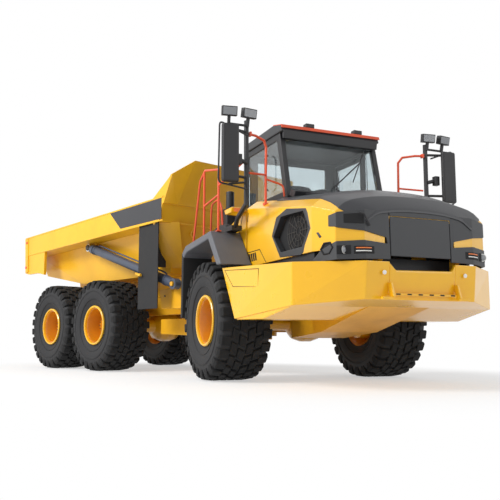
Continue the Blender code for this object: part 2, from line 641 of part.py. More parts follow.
def make_cooling(unit):
    pack = box((-1.08, -0.84), (FAN_Y - 0.44, FAN_Y + 0.44), (1.60, 2.18))
    post = solid("cooling_pack", pack, unit, look=(CHARCOAL, 0.6))
    combine(post, "UNION", "cooling_feet", box((-1.06, -0.53), (FAN_Y + 0.06, FAN_Y + 0.28), (1.36 + GAP, 1.46)))
    combine(post, "UNION", "cooling_leg", box((-1.06, -0.88), (FAN_Y + 0.06, FAN_Y + 0.28), (1.36 + GAP, 1.62)))
    well = round_bar((-1.10, FAN_Y, FAN_Z), (-0.98, FAN_Y, FAN_Z), FAN_RADIUS + 0.02, 20)
    combine(post, "DIFFERENCE", "fan_well", well)
    motor = round_bar((-0.96, FAN_Y, FAN_Z), (-1.065 + 0.07 + RUN, FAN_Y, FAN_Z), 0.05)
    combine(post, "UNION", "fan_motor", motor)
    centre = Vector((-1.03, FAN_Y, FAN_Z))
    hub = round_bar(centre - Vector((0.035, 0, 0)), centre + Vector((0.035, 0, 0)), 0.08, 14)
    fan = solid("cooling_fan", hub, unit, centre, look=(RUBBER, 0.5))
    for i in range(7):
        turn = 2 * math.pi * i / 7
        out = Vector((0, math.cos(turn), math.sin(turn)))
        side = Vector((0, -math.sin(turn), math.cos(turn)))
        pitch = Vector((0.022, 0, 0))
        wide = 0.055
        thin = Vector((0.004, 0, 0))
        loops = []
        for reach in (0.06, FAN_RADIUS - 0.01):
            middle = centre + reach * out
            a = middle - wide * side - pitch
            b = middle + wide * side + pitch
            loops.append([a - thin, b - thin, b + thin, a + thin])
        combine(fan, "UNION", f"fan_blade_{i}", rings(loops))


def make_bumper(unit):
    """A U of plate round the nose: each station is a tall thin section, outer edge first."""
    wall = 0.07
    half = [
        ((1.62, -1.96, 1.60), (1.62, -2.43, 0.87), (-1, 0)),
        ((1.47, -3.85, 1.50), (1.47, -3.85, 0.99), (-0.9, 0.5)),
        ((0.78, -4.39, 1.49), (0.78, -4.34, 1.05), (-0.3, 0.95)),
    ]
    stations = half + [((-a[0], *a[1:]), (-b[0], *b[1:]), (-way[0], way[1])) for a, b, way in reversed(half)]
    loops = []
    for top, bottom, way in stations:
        inward = Vector((way[0] * wall, way[1] * wall, 0))
        top = Vector(top)
        bottom = Vector(bottom)
        loops.append([top, bottom, bottom + inward, top + inward])
    bumper = solid("bumper", rings(loops), unit, look=(YELLOW, 0.35))
    notch = box((-0.47, 0.47), (-4.6, -4.2), (1.22, 1.8))
    combine(bumper, "DIFFERENCE", "bumper_notch", notch)
    for name, side in SIDES:
        pad = box((side * 1.20, side * 1.50), (-3.28, -3.12), (1.20, 1.36))
        combine(bumper, "UNION", f"bumper_pad_{name}", pad)
    tread = box((-0.45, 0.45), (-4.30, -3.95 - GAP), (1.24, 1.30))
    solid("front_step", tread, unit, look=(CHARCOAL, 0.7))


def make_fenders(unit):
    outer = [(-0.33, 0.95), (-0.36, 2.00), FENDER_REAR, (FENDER_PEAK_Y, FENDER_PEAK), (-2.10, 1.64), (-1.94, 1.64)]
    inner = [(-1.58, 2.06), (-0.56, 1.98), (-0.43, 1.92), (-0.40, 0.95)]
    for name, side in SIDES:
        limits = (side * FENDER_INNER, side * 1.70)
        solid(f"fender_{name}", side_plate(outer + inner, limits), unit, look=(GREY, 0.5))
        panel = [(-1.87, 1.66), (-1.87, 2.47), (-1.55, 2.42), (-0.98, 2.26), (-0.98, 1.95), (-1.20, 1.82)]
        panel += [(-1.60, 1.80)]
        if side > 0:
            # The door swings over the left panel, which stops at the deck.
            panel = [(y, min(z, DECK_TOP)) for y, z in panel]
        plate = (side * 1.16, side * (FENDER_INNER - GAP))
        deck = solid(f"deck_{name}", side_plate(panel, plate), unit, look=(CHARCOAL, 0.6))
        floor = box((side * (CAB_HALF_WIDTH + GAP), side * 1.17), (-1.84, -0.45), (DECK_TOP - DECK_PLATE, DECK_TOP))
        combine(deck, "UNION", f"deck_floor_{name}", floor)


def hood_side_top(y):
    """Height of the hood's shoulder over its straight part."""
    share = (y - HOOD_KNEE_Y) / (HOOD_REAR_Y - HOOD_KNEE_Y)
    return HOOD_TOP_KNEE + share * (HOOD_TOP_REAR - HOOD_TOP_KNEE)


def hood_station(y, half, side_top, crown, foot, inset=0.0):
    points = [
        (half - inset, foot),
        (half - inset, side_top - HOOD_CHAMFER_DROP - inset),
        (half - HOOD_CHAMFER - inset, side_top - inset),
        (0.42, crown - inset),
    ]
    points += [(-x, z) for x, z in reversed(points)]
    return [(x, y, z) for x, z in points]


def make_hood(unit):
    pivot = (0, HOOD_PIVOT_Y, HOOD_PIVOT_Z)
    rise = (HOOD_TOP_REAR - HOOD_TOP_KNEE) / (HOOD_REAR_Y - HOOD_KNEE_Y)
    rear_top = hood_side_top(HOOD_SIDE_REAR_Y)
    stations = [
        (HOOD_SIDE_REAR_Y, HOOD_HALF_WIDTH, rear_top, rear_top + 0.10),
        (HOOD_KNEE_Y, HOOD_HALF_WIDTH, HOOD_TOP_KNEE, HOOD_TOP_KNEE + 0.12),
        (-4.20, HOOD_HALF_WIDTH - 0.12, 2.19, 2.28),
        (HOOD_FRONT_Y, 0.78, HOOD_TOP_FRONT, HOOD_TOP_FRONT + 0.05),
    ]
    outer = [hood_station(*station, HOOD_FOOT) for station in stations]
    inner = [hood_station(*station, HOOD_FOOT - 0.3, HOOD_PLATE) for station in stations]
    inner[0] = [(x, y + 0.2, z + 0.2 * rise) for x, y, z in inner[0]]
    inner[-1] = [(x, y + HOOD_PLATE, z) for x, y, z in inner[-1]]
    hood = solid("hood", rings(outer), unit, pivot, look=(YELLOW, 0.35))
    combine(hood, "DIFFERENCE", "hood_hollow", rings(inner))
    combine(hood, "DIFFERENCE", "hood_back_cut", box((-1.04, 1.04), (HOOD_REAR_Y, -1.6), (1.4, 2.9)))
    grille_cut = box((-GRILLE_HALF_WIDTH, GRILLE_HALF_WIDTH), (-4.5, -4.25), (1.5, GRILLE_TOP))
    combine(hood, "DIFFERENCE", "hood_grille_cut", grille_cut)
    outline = [(-2.78, 1.94), (-3.02, 2.20), (-3.66, 2.17), (-3.80, 1.94), (-3.62, 1.71), (-3.00, 1.71)]
    combine(hood, "DIFFERENCE", "hood_fan_cut", side_plate(outline, (-1.3, -1.1)))
    chin = box((-0.68, 0.68), (-4.5, -4.25), (1.5, 1.70))
    combine(hood, "DIFFERENCE", "hood_chin_cut", chin)
    for name, side in SIDES:
        arm = [(-4.325, 1.72), (-4.325, 1.85), (-4.22, 1.85), (-4.235, 1.56), (-4.325, 1.56)]
        combine(hood, "UNION", f"hood_arm_{name}", side_plate(arm, (side * 0.60, side * 0.66)))
        start = (side * 0.5, HOOD_PIVOT_Y, HOOD_PIVOT_Z)
        end = (side * 0.8, HOOD_PIVOT_Y, HOOD_PIVOT_Z)
        combine(hood, "DIFFERENCE", f"hood_pin_hole_{name}", round_bar(start, end, 0.016 + RUN + 0.003))
    slab = box(
        (-GRILLE_HALF_WIDTH + RUN, GRILLE_HALF_WIDTH - RUN),
        (HOOD_FRONT_Y - 0.005, HOOD_FRONT_Y + 0.035),
        (1.54, GRILLE_TOP - 0.012),
    )
    solid("grille", slab, unit, (0, GRILLE_PIVOT_Y, GRILLE_PIVOT_Z), look=(CHARCOAL, 0.5))


def inset_profile(profile, amount):
    """Moves each edge of a counterclockwise or clockwise outline inward by amount."""
    count = len(profile)
    points = [Vector(point) for point in profile]
    area = sum(points[i].x * points[(i + 1) % count].y - points[(i + 1) % count].x * points[i].y for i in range(count))
    turn = 1 if area > 0 else -1
    moved = []
    for i, point in enumerate(points):
        before = (point - points[i - 1]).normalized()
        after = (points[(i + 1) % count] - point).normalized()
        first = Vector((-before.y, before.x)) * turn
        second = Vector((-after.y, after.x)) * turn
        corner = (first + second) / (1 + first.dot(second))
        moved.append(tuple(point + corner * amount))
    return moved


def make_cab(unit):
    side = [
        (CAB_REAR_Y, CAB_FLOOR),
        (CAB_FRONT_FOOT_Y, CAB_FLOOR),
        (CAB_FRONT_SILL_Y, CAB_SILL),
        (CAB_FRONT_TOP_Y, CAB_TOP),
        (CAB_REAR_Y, CAB_TOP),
    ]
    wide = (-CAB_HALF_WIDTH, CAB_HALF_WIDTH)
    cab = solid("cab_shell", side_plate(side, wide), unit, look=(CHARCOAL, 0.5))
    inside = (-CAB_HALF_WIDTH + CAB_WALL, CAB_HALF_WIDTH - CAB_WALL)
    combine(cab, "DIFFERENCE", "cab_hollow", side_plate(inset_profile(side, CAB_WALL), inside))
    low = WINDOW_FOOT
    high = WINDOW_TOP
    rear = DOOR_REAR_Y
    front_low = CAB_FRONT_SILL_Y + 0.14
    front_high = CAB_FRONT_TOP_Y + 0.10
    pane = [(rear, low), (front_low, low), (front_high, high), (rear, high)]
    quarter = DOOR_FRONT_Y - PILLAR
    quarter = [(quarter, low), (front_low, low), (front_high, high), (quarter, high)]
    door = [(rear, DOOR_FOOT), (DOOR_FRONT_Y, DOOR_FOOT), (DOOR_FRONT_Y, high), (rear, high)]
    shield = [(CAB_FRONT_SILL_Y - 0.3, low), (CAB_FRONT_TOP_Y + 0.2, low)]
    shield += [(CAB_FRONT_TOP_Y + 0.2, high), (CAB_FRONT_SILL_Y - 0.3, high)]
    glass_half = CAB_HALF_WIDTH - CAB_WALL - 0.03
    combine(cab, "DIFFERENCE", "windshield_cut", side_plate(shield, (-glass_half, glass_half)))
    through = (-CAB_HALF_WIDTH - 0.1, -CAB_HALF_WIDTH + 0.1)
    combine(cab, "DIFFERENCE", "right_cut", side_plate(pane, through))
    combine(cab, "DIFFERENCE", "door_cut", side_plate(door, (-through[1], -through[0])))
    combine(cab, "DIFFERENCE", "quarter_cut", side_plate(quarter, (-through[1], -through[0])))
    back_half = REAR_WINDOW_HALF_WIDTH
    back = box((-back_half, back_half), (CAB_REAR_Y - 0.1, CAB_REAR_Y + 0.1), (REAR_WINDOW_FOOT, REAR_WINDOW_TOP))
    combine(cab, "DIFFERENCE", "rear_cut", back)
    for name, way in SIDES:
        for place, y in (("front", -2.15), ("rear", -1.10)):
            limits = (way * (FRAME_RAIL_INNER + 0.02), way * (FRAME_RAIL_OUTER - 0.02))
            foot = box(limits, (y - 0.06, y + 0.06), (FRAME_TOP + GAP, CAB_FLOOR + 0.02))
            combine(cab, "UNION", f"cab_foot_{place}_{name}", foot)
    glass = (GLASS_TINT, 0.05)
    inner = CAB_HALF_WIDTH - CAB_WALL / 2
    pane_in = inset_profile(pane, GAP)
    solid("window_right", side_plate(pane_in, (-inner - GLASS, -inner)), unit, look=glass)
    slope = (CAB_FRONT_TOP_Y - CAB_FRONT_SILL_Y) / (CAB_TOP - CAB_SILL)
    face = CAB_FRONT_SILL_Y + 0.02
    shield = [(face + slope * (low + GAP - CAB_SILL), low + GAP), (face + slope * (high - CAB_SILL), high - GAP)]
    shield += [(y + GLASS, z) for y, z in reversed(shield)]
    solid("windshield", side_plate(shield, (-glass_half + GAP, glass_half - GAP)), unit, look=glass)
    back_y = (CAB_REAR_Y - 0.03, CAB_REAR_Y - 0.03 + GLASS)
    back_half -= GAP
    back = box((-back_half, back_half), back_y, (REAR_WINDOW_FOOT + GAP, REAR_WINDOW_TOP - GAP))
    solid("window_rear", back, unit, look=glass)
    hinge = (CAB_HALF_WIDTH, rear, 0)
    leaf = inset_profile(door, RUN + 0.004)
    plate = (CAB_HALF_WIDTH - 0.04, CAB_HALF_WIDTH)
    door_piece = solid("cab_door", side_plate(leaf, plate), unit, hinge, look=(CHARCOAL, 0.5))
    light = [(rear, low), (DOOR_FRONT_Y, low), (DOOR_FRONT_Y, high), (rear, high)]
    light = inset_profile(light, PILLAR)
    light_x = (CAB_HALF_WIDTH - 0.1, CAB_HALF_WIDTH + 0.1)
    combine(door_piece, "DIFFERENCE", "door_light_cut", side_plate(light, light_x))
    door_pane = side_plate(inset_profile(light, GAP), (CAB_HALF_WIDTH - 0.03, CAB_HALF_WIDTH - 0.03 + GLASS))
    solid("door_glass", door_pane, unit, hinge, look=glass)
    roof = [
        (CAB_REAR_Y + 0.06, CAB_TOP + GAP),
        (CAB_FRONT_TOP_Y - 0.10, CAB_TOP + GAP),
        (CAB_FRONT_TOP_Y - 0.06, CAB_TOP + ROOF_THICKNESS - 0.03),
        (CAB_FRONT_TOP_Y + 0.20, CAB_TOP + ROOF_THICKNESS + 0.02),
        (CAB_REAR_Y, CAB_TOP + ROOF_THICKNESS),
    ]
    solid("cab_roof", side_plate(roof, (-CAB_HALF_WIDTH - 0.02, CAB_HALF_WIDTH + 0.02)), unit, look=(CHARCOAL, 0.5))


def make_interior(unit):
    floor = CAB_FLOOR + CAB_WALL + GAP
    seat = solid("seat", box((-0.25, 0.25), (-1.75, -1.28), (2.25, 2.42)), unit, look=(CHARCOAL, 0.8))
    back = [(-1.36, 2.38), (-1.20, 3.10), (-1.08, 3.10), (-1.22, 2.30)]
    combine(seat, "UNION", "seat_back", side_plate(back, (-0.24, 0.24)))
    combine(seat, "UNION", "seat_base", box((-0.18, 0.18), (-1.68, -1.34), (floor, 2.28)))
    column = [(-2.20, floor), (-1.95, floor), (-1.92, 2.55), (-2.06, 2.62), (-2.24, 2.30)]
    console = solid("steering_console", side_plate(column, (-0.14, 0.14)), unit, look=(CHARCOAL, 0.6))
    column_foot = Vector((0, -2.02, 2.50))
    column_head = Vector((0, -1.88, 2.74))
    combine(console, "UNION", "steering_column", round_bar(column_foot, column_head, 0.03, 8))
    way = (column_head - column_foot).normalized()
    disc = round_bar(column_head - way * 0.015, column_head + way * 0.02, 0.20, 20)
    combine(console, "UNION", "steering_wheel", disc)


def fender_top(y):
    share = (FENDER_REAR[0] - y) / (FENDER_REAR[0] - FENDER_PEAK_Y)
    return FENDER_REAR[1] + share * (FENDER_PEAK - FENDER_REAR[1]) + 0.002


def make_posts(unit):
    for name, side in SIDES:
        x = side * POST_X
        line = [(side * 1.36, -1.80, 2.19), (side * 1.40, -2.00, 2.32), (x, POST_Y, 2.42), (x, POST_Y, POST_TOP)]
        post = solid(f"mirror_post_{name}", tube_path(line, POST_RADIUS), unit, look=(CHARCOAL, 0.5), smooth=True)
        base = box((side * 1.28, side * 1.44), (-1.88, -1.56), (FENDER_PEAK + GAP, 2.24))
        combine(post, "UNION", f"post_base_{name}", base)
        for count, z in enumerate((2.78, 3.42)):
            arm = round_bar((x, POST_Y, z), (side * 1.80, POST_Y - 0.10, z), 0.02, 8)
            combine(post, "UNION", f"mirror_arm_{name}_{count}", arm)
            pad = box((side * 1.75, side * 1.85), (POST_Y - 0.12, POST_Y - 0.08), (z - 0.04, z + 0.04))
            combine(post, "UNION", f"mirror_pad_{name}_{count}", pad)
        low = box((side * 1.68, side * 1.92), (POST_Y - 0.20, POST_Y - 0.12 - GAP), (2.66, 3.46))
        solid(f"mirror_{name}", low, unit, look=(CHARCOAL, 0.5))


def make_rails(unit):
    """The rear rails stand on the fenders. The front rails stand on the hood and lift with it."""
    look = (ORANGE, 0.4)
    for name, side in SIDES:
        x = side * RAIL_X
        if side < 0:
            hoop = [(-0.50, fender_top(-0.50) + 0.004), (-0.82, RAIL_TOP), (-1.05, RAIL_TOP + 0.12)]
            hoop += [(-1.65, RAIL_TOP), (-1.65, fender_top(-1.65))]
        else:
            hoop = [(-0.56, fender_top(-0.56)), (-0.58, RAIL_TOP), (-0.95, RAIL_TOP), (-0.95, fender_top(-0.95))]
        line = [(x, y, z) for y, z in hoop]
        rail = solid(f"handrail_rear_{name}", tube_path(line, RAIL_RADIUS, 8), unit, look=look, smooth=True)
        if side < 0:
            upright = round_bar((x, -1.02, fender_top(-1.02)), (x, -1.02, RAIL_TOP + 0.10), RAIL_RADIUS, 8)
            combine(rail, "UNION", "rail_upright", upright)
            combine(rail, "UNION", "rail_cross", round_bar((x, -1.02, 2.66), (x, -1.65, 2.72), 0.015, 8))
        foot_y = -2.36
        foot_x = HOOD_HALF_WIDTH - HOOD_CHAMFER / 2
        foot_z = hood_side_top(foot_y) - HOOD_CHAMFER_DROP / 2 + 0.0143
        end_x = POST_X - POST_RADIUS - RUN
        line = [
            (side * foot_x, foot_y, foot_z),
            (side * foot_x, foot_y - 0.02, 3.30),
            (side * (foot_x + 0.05), foot_y - 0.06, 3.38),
            (side * (end_x - 0.12), POST_Y + 0.04, 3.40),
            (side * end_x, POST_Y, 3.40),
        ]
        solid(f"handrail_front_{name}", tube_path(line, RAIL_RADIUS, 8), unit, look=look, smooth=True)


def make_stack(unit):
    look = (CHARCOAL, 0.5)
    stack = solid("exhaust_stack", box((-1.12, -0.88), (-0.86, -0.56), (DECK_TOP + GAP, 2.70)), unit, look=look)
    combine(stack, "UNION", "exhaust_pipe", round_bar((-1.0, -0.70, 2.6), (-1.0, -0.70, 3.0), 0.07, 12))


def place_on_ground(root):
    """Shifts the machine so that the origin is under the middle of its bounding box."""
    bpy.context.view_layer.update()
    graph = bpy.context.evaluated_depsgraph_get()
    points = []
    for piece in bpy.context.scene.objects:
        if piece.type == "MESH" and not piece.hide_render:
            shape = piece.evaluated_get(graph)
            mesh = shape.to_mesh()
            points += [shape.matrix_world @ vertex.co for vertex in mesh.vertices]
            shape.to_mesh_clear()
    points = np.array([tuple(point) for point in points])
    middle = (points.min(axis=0) + points.max(axis=0)) / 2
    root.location = (-middle[0], -middle[1], -points[:, 2].min())


def main():
    clear_scene()
    truck = empty("truck", (0, 0, 0))
    rear = empty("rear_unit", (0, 0, 0), truck)
    front = empty("front_unit", (0, 0, 0), truck, STEER_REST)
    make_rear_frame(rear)
    make_bogie(rear)
    make_body(rear)
    make_hoist(rear)
    make_hitch(front)
    make_steering(front)
    make_front_frame(front)
    make_axle("front_axle", FRONT_AXLE_Y, front)
    make_engine(front)
    make_cooling(front)
    make_bumper(front)
    make_fenders(front)
    make_hood(front)
    make_cab(front)
    make_interior(front)
    make_posts(front)
    make_rails(front)
    make_stack(front)
    for name, side in SIDES:
        make_wheel(f"front_{name}", side, FRONT_AXLE_Y, front)
        make_wheel(f"middle_{name}", side, BOGIE_FRONT_Y, rear)
        make_wheel(f"rear_{name}", side, BOGIE_REAR_Y, rear)
    place_on_ground(truck)


main()
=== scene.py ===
"""Finishes, fittings and studio for an articulated dump truck, around its packed CAD model."""
import json
import math

import bmesh
import bpy
from mathutils import Matrix, Vector

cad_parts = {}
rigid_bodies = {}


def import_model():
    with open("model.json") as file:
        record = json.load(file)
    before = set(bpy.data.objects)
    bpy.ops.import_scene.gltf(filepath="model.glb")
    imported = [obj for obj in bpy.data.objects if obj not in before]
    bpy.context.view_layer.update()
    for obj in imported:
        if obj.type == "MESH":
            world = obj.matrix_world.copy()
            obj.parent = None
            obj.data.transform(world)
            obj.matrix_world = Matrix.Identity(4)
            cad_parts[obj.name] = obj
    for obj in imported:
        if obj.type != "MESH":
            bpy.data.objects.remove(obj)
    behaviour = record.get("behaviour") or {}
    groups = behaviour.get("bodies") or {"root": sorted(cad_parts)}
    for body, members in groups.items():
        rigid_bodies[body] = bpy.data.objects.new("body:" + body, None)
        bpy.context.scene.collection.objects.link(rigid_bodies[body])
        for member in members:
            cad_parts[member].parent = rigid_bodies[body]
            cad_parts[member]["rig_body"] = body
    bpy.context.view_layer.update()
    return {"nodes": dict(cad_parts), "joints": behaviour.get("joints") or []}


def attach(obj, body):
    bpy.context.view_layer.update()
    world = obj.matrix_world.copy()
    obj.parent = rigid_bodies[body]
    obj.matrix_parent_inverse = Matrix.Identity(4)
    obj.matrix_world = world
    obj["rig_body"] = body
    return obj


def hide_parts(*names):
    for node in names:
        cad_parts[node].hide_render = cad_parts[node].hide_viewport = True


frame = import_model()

bl_info = {
    "name": "Articulated dump truck",
    "version": (1, 0, 0),
    "blender": (4, 5, 0),
    "location": "3D View > Sidebar > Truck",
    "description": "Dresses the packed model of an articulated dump truck",
    "category": "Object",
}

NODES = frame["nodes"]
JOINTS = {joint["name"]: joint for joint in frame["joints"]}

# Both units are described from the steering pin, on the ground: x to the left, y to the rear.
PIN = Vector((JOINTS["steering"]["pos_m"][0], JOINTS["steering"]["pos_m"][1], 0.0))
TURN = math.radians(-18.5)
REAR = Matrix.Translation(PIN)
FRONT = Matrix.Translation(PIN) @ Matrix.Rotation(TURN, 4, "Z")
SIDES = (("right", -1), ("left", 1))

CAMERA_PLACE = Vector((-8.316, -8.839, 0.589))
CAMERA_YAW = math.radians(41.757)
CAMERA_PITCH = math.radians(7.444)
CAMERA_LENS = 49.66
FLOOR_NEAR = 5.2
FLOOR_FAR = 8.5
FLOOR_STRETCH = 1.5
FLOOR_LIFT = 0.5

# Wheels
TYRE_RADIUS = 0.875
WHEEL_X = 1.32
WHEELS = (
    # name, unit, axle's y from the pin
    ("front", FRONT, -1.366),
    ("middle", REAR, 3.135),
    ("rear", REAR, 4.955),
)

# Hood: the y, half width, shoulder height and crown height of its sections
HOOD_SECTIONS = (
    (-2.60, 1.20, 2.50, 2.60),
    (-3.85, 1.20, 2.30, 2.42),
    (-4.20, 1.08, 2.19, 2.28),
    (-4.34, 0.78, 2.08, 2.13),
)
HOOD_SHOULDER = 0.16
HOOD_CHAMFER_DROP = 0.12
HOOD_BEND_Y = -3.85
HOOD_BEND_SLOPE = 0.12 / 0.35
HOOD_HALF = 1.20
NOSE_Y = -4.34


# Materials ---------------------------------------------------------------------------------------

FINISHES = {
    # name: colour, dirt colour, noise scale, dirt share, roughness, roughness spread, bump, metallic, coat
    "Yellow paint": ((0.93, 0.50, 0.006), (0.70, 0.34, 0.012), 1.4, 0.30, 0.22, 0.14, 0.03, 0.0, 0.45),
    "Body paint": ((0.88, 0.47, 0.010), (0.60, 0.29, 0.02), 1.0, 0.45, 0.32, 0.2, 0.07, 0.0, 0.2),
    "Frame paint": ((0.80, 0.40, 0.010), (0.45, 0.20, 0.02), 2.0, 0.5, 0.38, 0.2, 0.12, 0.0, 0.1),
    # The rim dish's colour is the yellow paint darkened to orange-brown: painted shade for the deep dish.
    "Rim dish painted shade": ((0.62, 0.21, 0.003), (0.36, 0.11, 0.008), 3.0, 0.4, 0.28, 0.16, 0.05, 0.0, 0.3),
    "Hood charcoal": ((0.030, 0.031, 0.036), (0.048, 0.048, 0.052), 2.4, 0.45, 0.34, 0.16, 0.10, 0.0, 0.1),
    "Panel charcoal": ((0.032, 0.034, 0.038), (0.055, 0.056, 0.058), 2.4, 0.4, 0.42, 0.16, 0.10, 0.0, 0.0),
    "Fender plastic": ((0.115, 0.12, 0.135), (0.19, 0.19, 0.19), 2.2, 0.5, 0.46, 0.2, 0.3, 0.0, 0.0),
    "Tyre rubber": ((0.0055, 0.0055, 0.006), (0.013, 0.0125, 0.012), 4.0, 0.5, 0.82, 0.16, 0.35, 0.0, 0.0),
    "Tyre wall": ((0.013, 0.013, 0.0145), (0.027, 0.026, 0.025), 3.0, 0.6, 0.62, 0.16, 0.25, 0.0, 0.0),
    # The flaps' own black rubber; it also colours the dark sheets that are painted shade between the body's
    # flaps and front plates.
    "Flap rubber and painted shade": ((0.012, 0.012, 0.013), (0.035, 0.032, 0.03), 4.0, 0.5, 0.66, 0.2, 0.3, 0.0, 0.0),
    "Cylinder paint": ((0.055, 0.070, 0.105), (0.035, 0.04, 0.05), 3.0, 0.5, 0.36, 0.2, 0.1, 0.0, 0.15),
    "Rod chrome": ((0.75, 0.76, 0.78), (0.5, 0.5, 0.5), 8.0, 0.3, 0.10, 0.12, 0.02, 1.0, 0.0),
    "Rail orange": ((0.80, 0.085, 0.018), (0.45, 0.05, 0.015), 4.0, 0.35, 0.32, 0.2, 0.08, 0.0, 0.2),
    "Black plastic": ((0.015, 0.015, 0.017), (0.04, 0.04, 0.042), 3.0, 0.4, 0.40, 0.2, 0.25, 0.0, 0.0),
    # Dark void is near black: the colour of seams and dark lamp bodies, and painted shade where it fills
    # openings and recesses.
    "Dark void": ((0.004, 0.004, 0.005), (0.008, 0.008, 0.008), 3.0, 0.4, 0.75, 0.1, 0.1, 0.0, 0.0),
    "Cast steel": ((0.06, 0.055, 0.05), (0.10, 0.08, 0.06), 3.0, 0.6, 0.55, 0.2, 0.35, 0.3, 0.0),
    "Upholstery": ((0.025, 0.026, 0.030), (0.05, 0.05, 0.052), 6.0, 0.4, 0.85, 0.1, 0.6, 0.0, 0.0),
    "Bright steel": ((0.62, 0.62, 0.60), (0.35, 0.34, 0.32), 9.0, 0.4, 0.28, 0.2, 0.1, 1.0, 0.0),
}
SLOT_FINISH = {
    "yellow_paint": "Yellow paint", "body_steel": "Body paint", "charcoal": "Panel charcoal",
    "fender_plastic": "Fender plastic", "tyre": "Tyre rubber", "rubber": "Flap rubber and painted shade",
    "cylinder_blue": "Cylinder paint", "rod_chrome": "Rod chrome", "rail_orange": "Rail orange",
    "black_plastic": "Black plastic", "cast": "Cast steel", "glass": "Tinted glass",
}
MATERIALS = {}


def wear_group():
    """A shader node group: mottled colour, roughness and a fine bump from Object coordinates."""
    group = bpy.data.node_groups.new("Worn surface", "ShaderNodeTree")
    sockets = group.interface
    for name in ("Colour", "Dirt"):
        sockets.new_socket(name, in_out="INPUT", socket_type="NodeSocketColor")
    for name in ("Scale", "Amount", "Roughness", "Spread", "Bump"):
        sockets.new_socket(name, in_out="INPUT", socket_type="NodeSocketFloat")
    sockets.new_socket("Colour", in_out="OUTPUT", socket_type="NodeSocketColor")
    sockets.new_socket("Roughness", in_out="OUTPUT", socket_type="NodeSocketFloat")
    sockets.new_socket("Normal", in_out="OUTPUT", socket_type="NodeSocketVector")
    add = group.nodes.new
    link = group.links.new
    given = add("NodeGroupInput")
    out = add("NodeGroupOutput")
    place = add("ShaderNodeTexCoord")
    cloud = add("ShaderNodeTexNoise")
    cloud.inputs["Detail"].default_value = 6.0
    cloud.inputs["Roughness"].default_value = 0.62
    link(place.outputs["Object"], cloud.inputs["Vector"])
    link(given.outputs["Scale"], cloud.inputs["Scale"])
    mask = add("ShaderNodeMapRange")
    mask.inputs["From Min"].default_value = 0.45
    mask.inputs["From Max"].default_value = 0.8
    link(cloud.outputs["Fac"], mask.inputs["Value"])
    share = add("ShaderNodeMath")
    share.operation = "MULTIPLY"
    link(mask.outputs["Result"], share.inputs[0])
    link(given.outputs["Amount"], share.inputs[1])
    mix = add("ShaderNodeMix")
    mix.data_type = "RGBA"
    link(share.outputs[0], mix.inputs["Factor"])
    link(given.outputs["Colour"], mix.inputs["A"])
    link(given.outputs["Dirt"], mix.inputs["B"])
    rough = add("ShaderNodeMath")
    rough.operation = "MULTIPLY_ADD"
    link(cloud.outputs["Fac"], rough.inputs[0])
    link(given.outputs["Spread"], rough.inputs[1])
    link(given.outputs["Roughness"], rough.inputs[2])
    fine = add("ShaderNodeTexNoise")
    fine.inputs["Scale"].default_value = 180.0
    fine.inputs["Detail"].default_value = 3.0
    link(place.outputs["Object"], fine.inputs["Vector"])
    bump = add("ShaderNodeBump")
    bump.inputs["Distance"].default_value = 0.004
    link(given.outputs["Bump"], bump.inputs["Strength"])
    link(fine.outputs["Fac"], bump.inputs["Height"])
    link(mix.outputs["Result"], out.inputs["Colour"])
    link(rough.outputs[0], out.inputs["Roughness"])
    link(bump.outputs["Normal"], out.inputs["Normal"])
    return group


def make_finish(name, group):
    """One Principled material whose colour, roughness and normal come from the wear group."""
    colour, dirt, scale, amount, rough, spread, bump, metal, coat = FINISHES[name]
    material = bpy.data.materials.new(name)
    material.use_nodes = True
    tree = material.node_tree
    shader = tree.nodes["Principled BSDF"]
    worn = tree.nodes.new("ShaderNodeGroup")
    worn.node_tree = group
    worn.inputs["Colour"].default_value = (*colour, 1.0)
    worn.inputs["Dirt"].default_value = (*dirt, 1.0)
    for socket, value in zip(("Scale", "Amount", "Roughness", "Spread", "Bump"),
                             (scale, amount, rough, spread, bump)):
        worn.inputs[socket].default_value = value
    tree.links.new(worn.outputs["Colour"], shader.inputs["Base Color"])
    tree.links.new(worn.outputs["Roughness"], shader.inputs["Roughness"])
    tree.links.new(worn.outputs["Normal"], shader.inputs["Normal"])
    shader.inputs["Metallic"].default_value = metal
    shader.inputs["Coat Weight"].default_value = coat
    shader.inputs["Coat Roughness"].default_value = 0.12
    MATERIALS[name] = material


def make_clear(name, colour, transmission, rough_low, rough_high, glow=0.0):
    """Glass or a lamp's lens, with an uneven polish."""
    material = bpy.data.materials.new(name)
    material.use_nodes = True
    tree = material.node_tree
    shader = tree.nodes["Principled BSDF"]
    shader.inputs["Base Color"].default_value = (*colour, 1.0)
    shader.inputs["Transmission Weight"].default_value = transmission
    shader.inputs["IOR"].default_value = 1.45
    shader.inputs["Emission Color"].default_value = (*colour, 1.0)
    shader.inputs["Emission Strength"].default_value = glow
    place = tree.nodes.new("ShaderNodeTexCoord")
    cloud = tree.nodes.new("ShaderNodeTexNoise")
    cloud.inputs["Scale"].default_value = 2.5
    spread = tree.nodes.new("ShaderNodeMapRange")
    spread.inputs["To Min"].default_value = rough_low
    spread.inputs["To Max"].default_value = rough_high
    tree.links.new(place.outputs["Object"], cloud.inputs["Vector"])
    tree.links.new(cloud.outputs["Fac"], spread.inputs["Value"])
    tree.links.new(spread.outputs["Result"], shader.inputs["Roughness"])
    MATERIALS[name] = material


# Mesh tools --------------------------------------------------------------------------------------

def add_loft(work, loops, closed=False):
    """Joins rings of the same number of points. Open lofts get end caps."""
    rows = [[work.verts.new(point) for point in loop] for loop in loops]
    count = len(rows[0])
    pairs = list(zip(rows, rows[1:]))
    if closed:
        pairs.append((rows[-1], rows[0]))
    for near, far in pairs:
        for i in range(count):
            j = (i + 1) % count
            work.faces.new((near[i], near[j], far[j], far[i]))
    if not closed:
        work.faces.new(list(reversed(rows[0])))
        work.faces.new(rows[-1])


def add_prism(work, outline, low, high, axis=0):
    """An outline, given in the two other axes, carried along one axis."""
    def lift(point, level):
        values = list(point)
        values.insert(axis, level)
        return values
    add_loft(work, [[lift(point, level) for point in outline] for level in (low, high)])


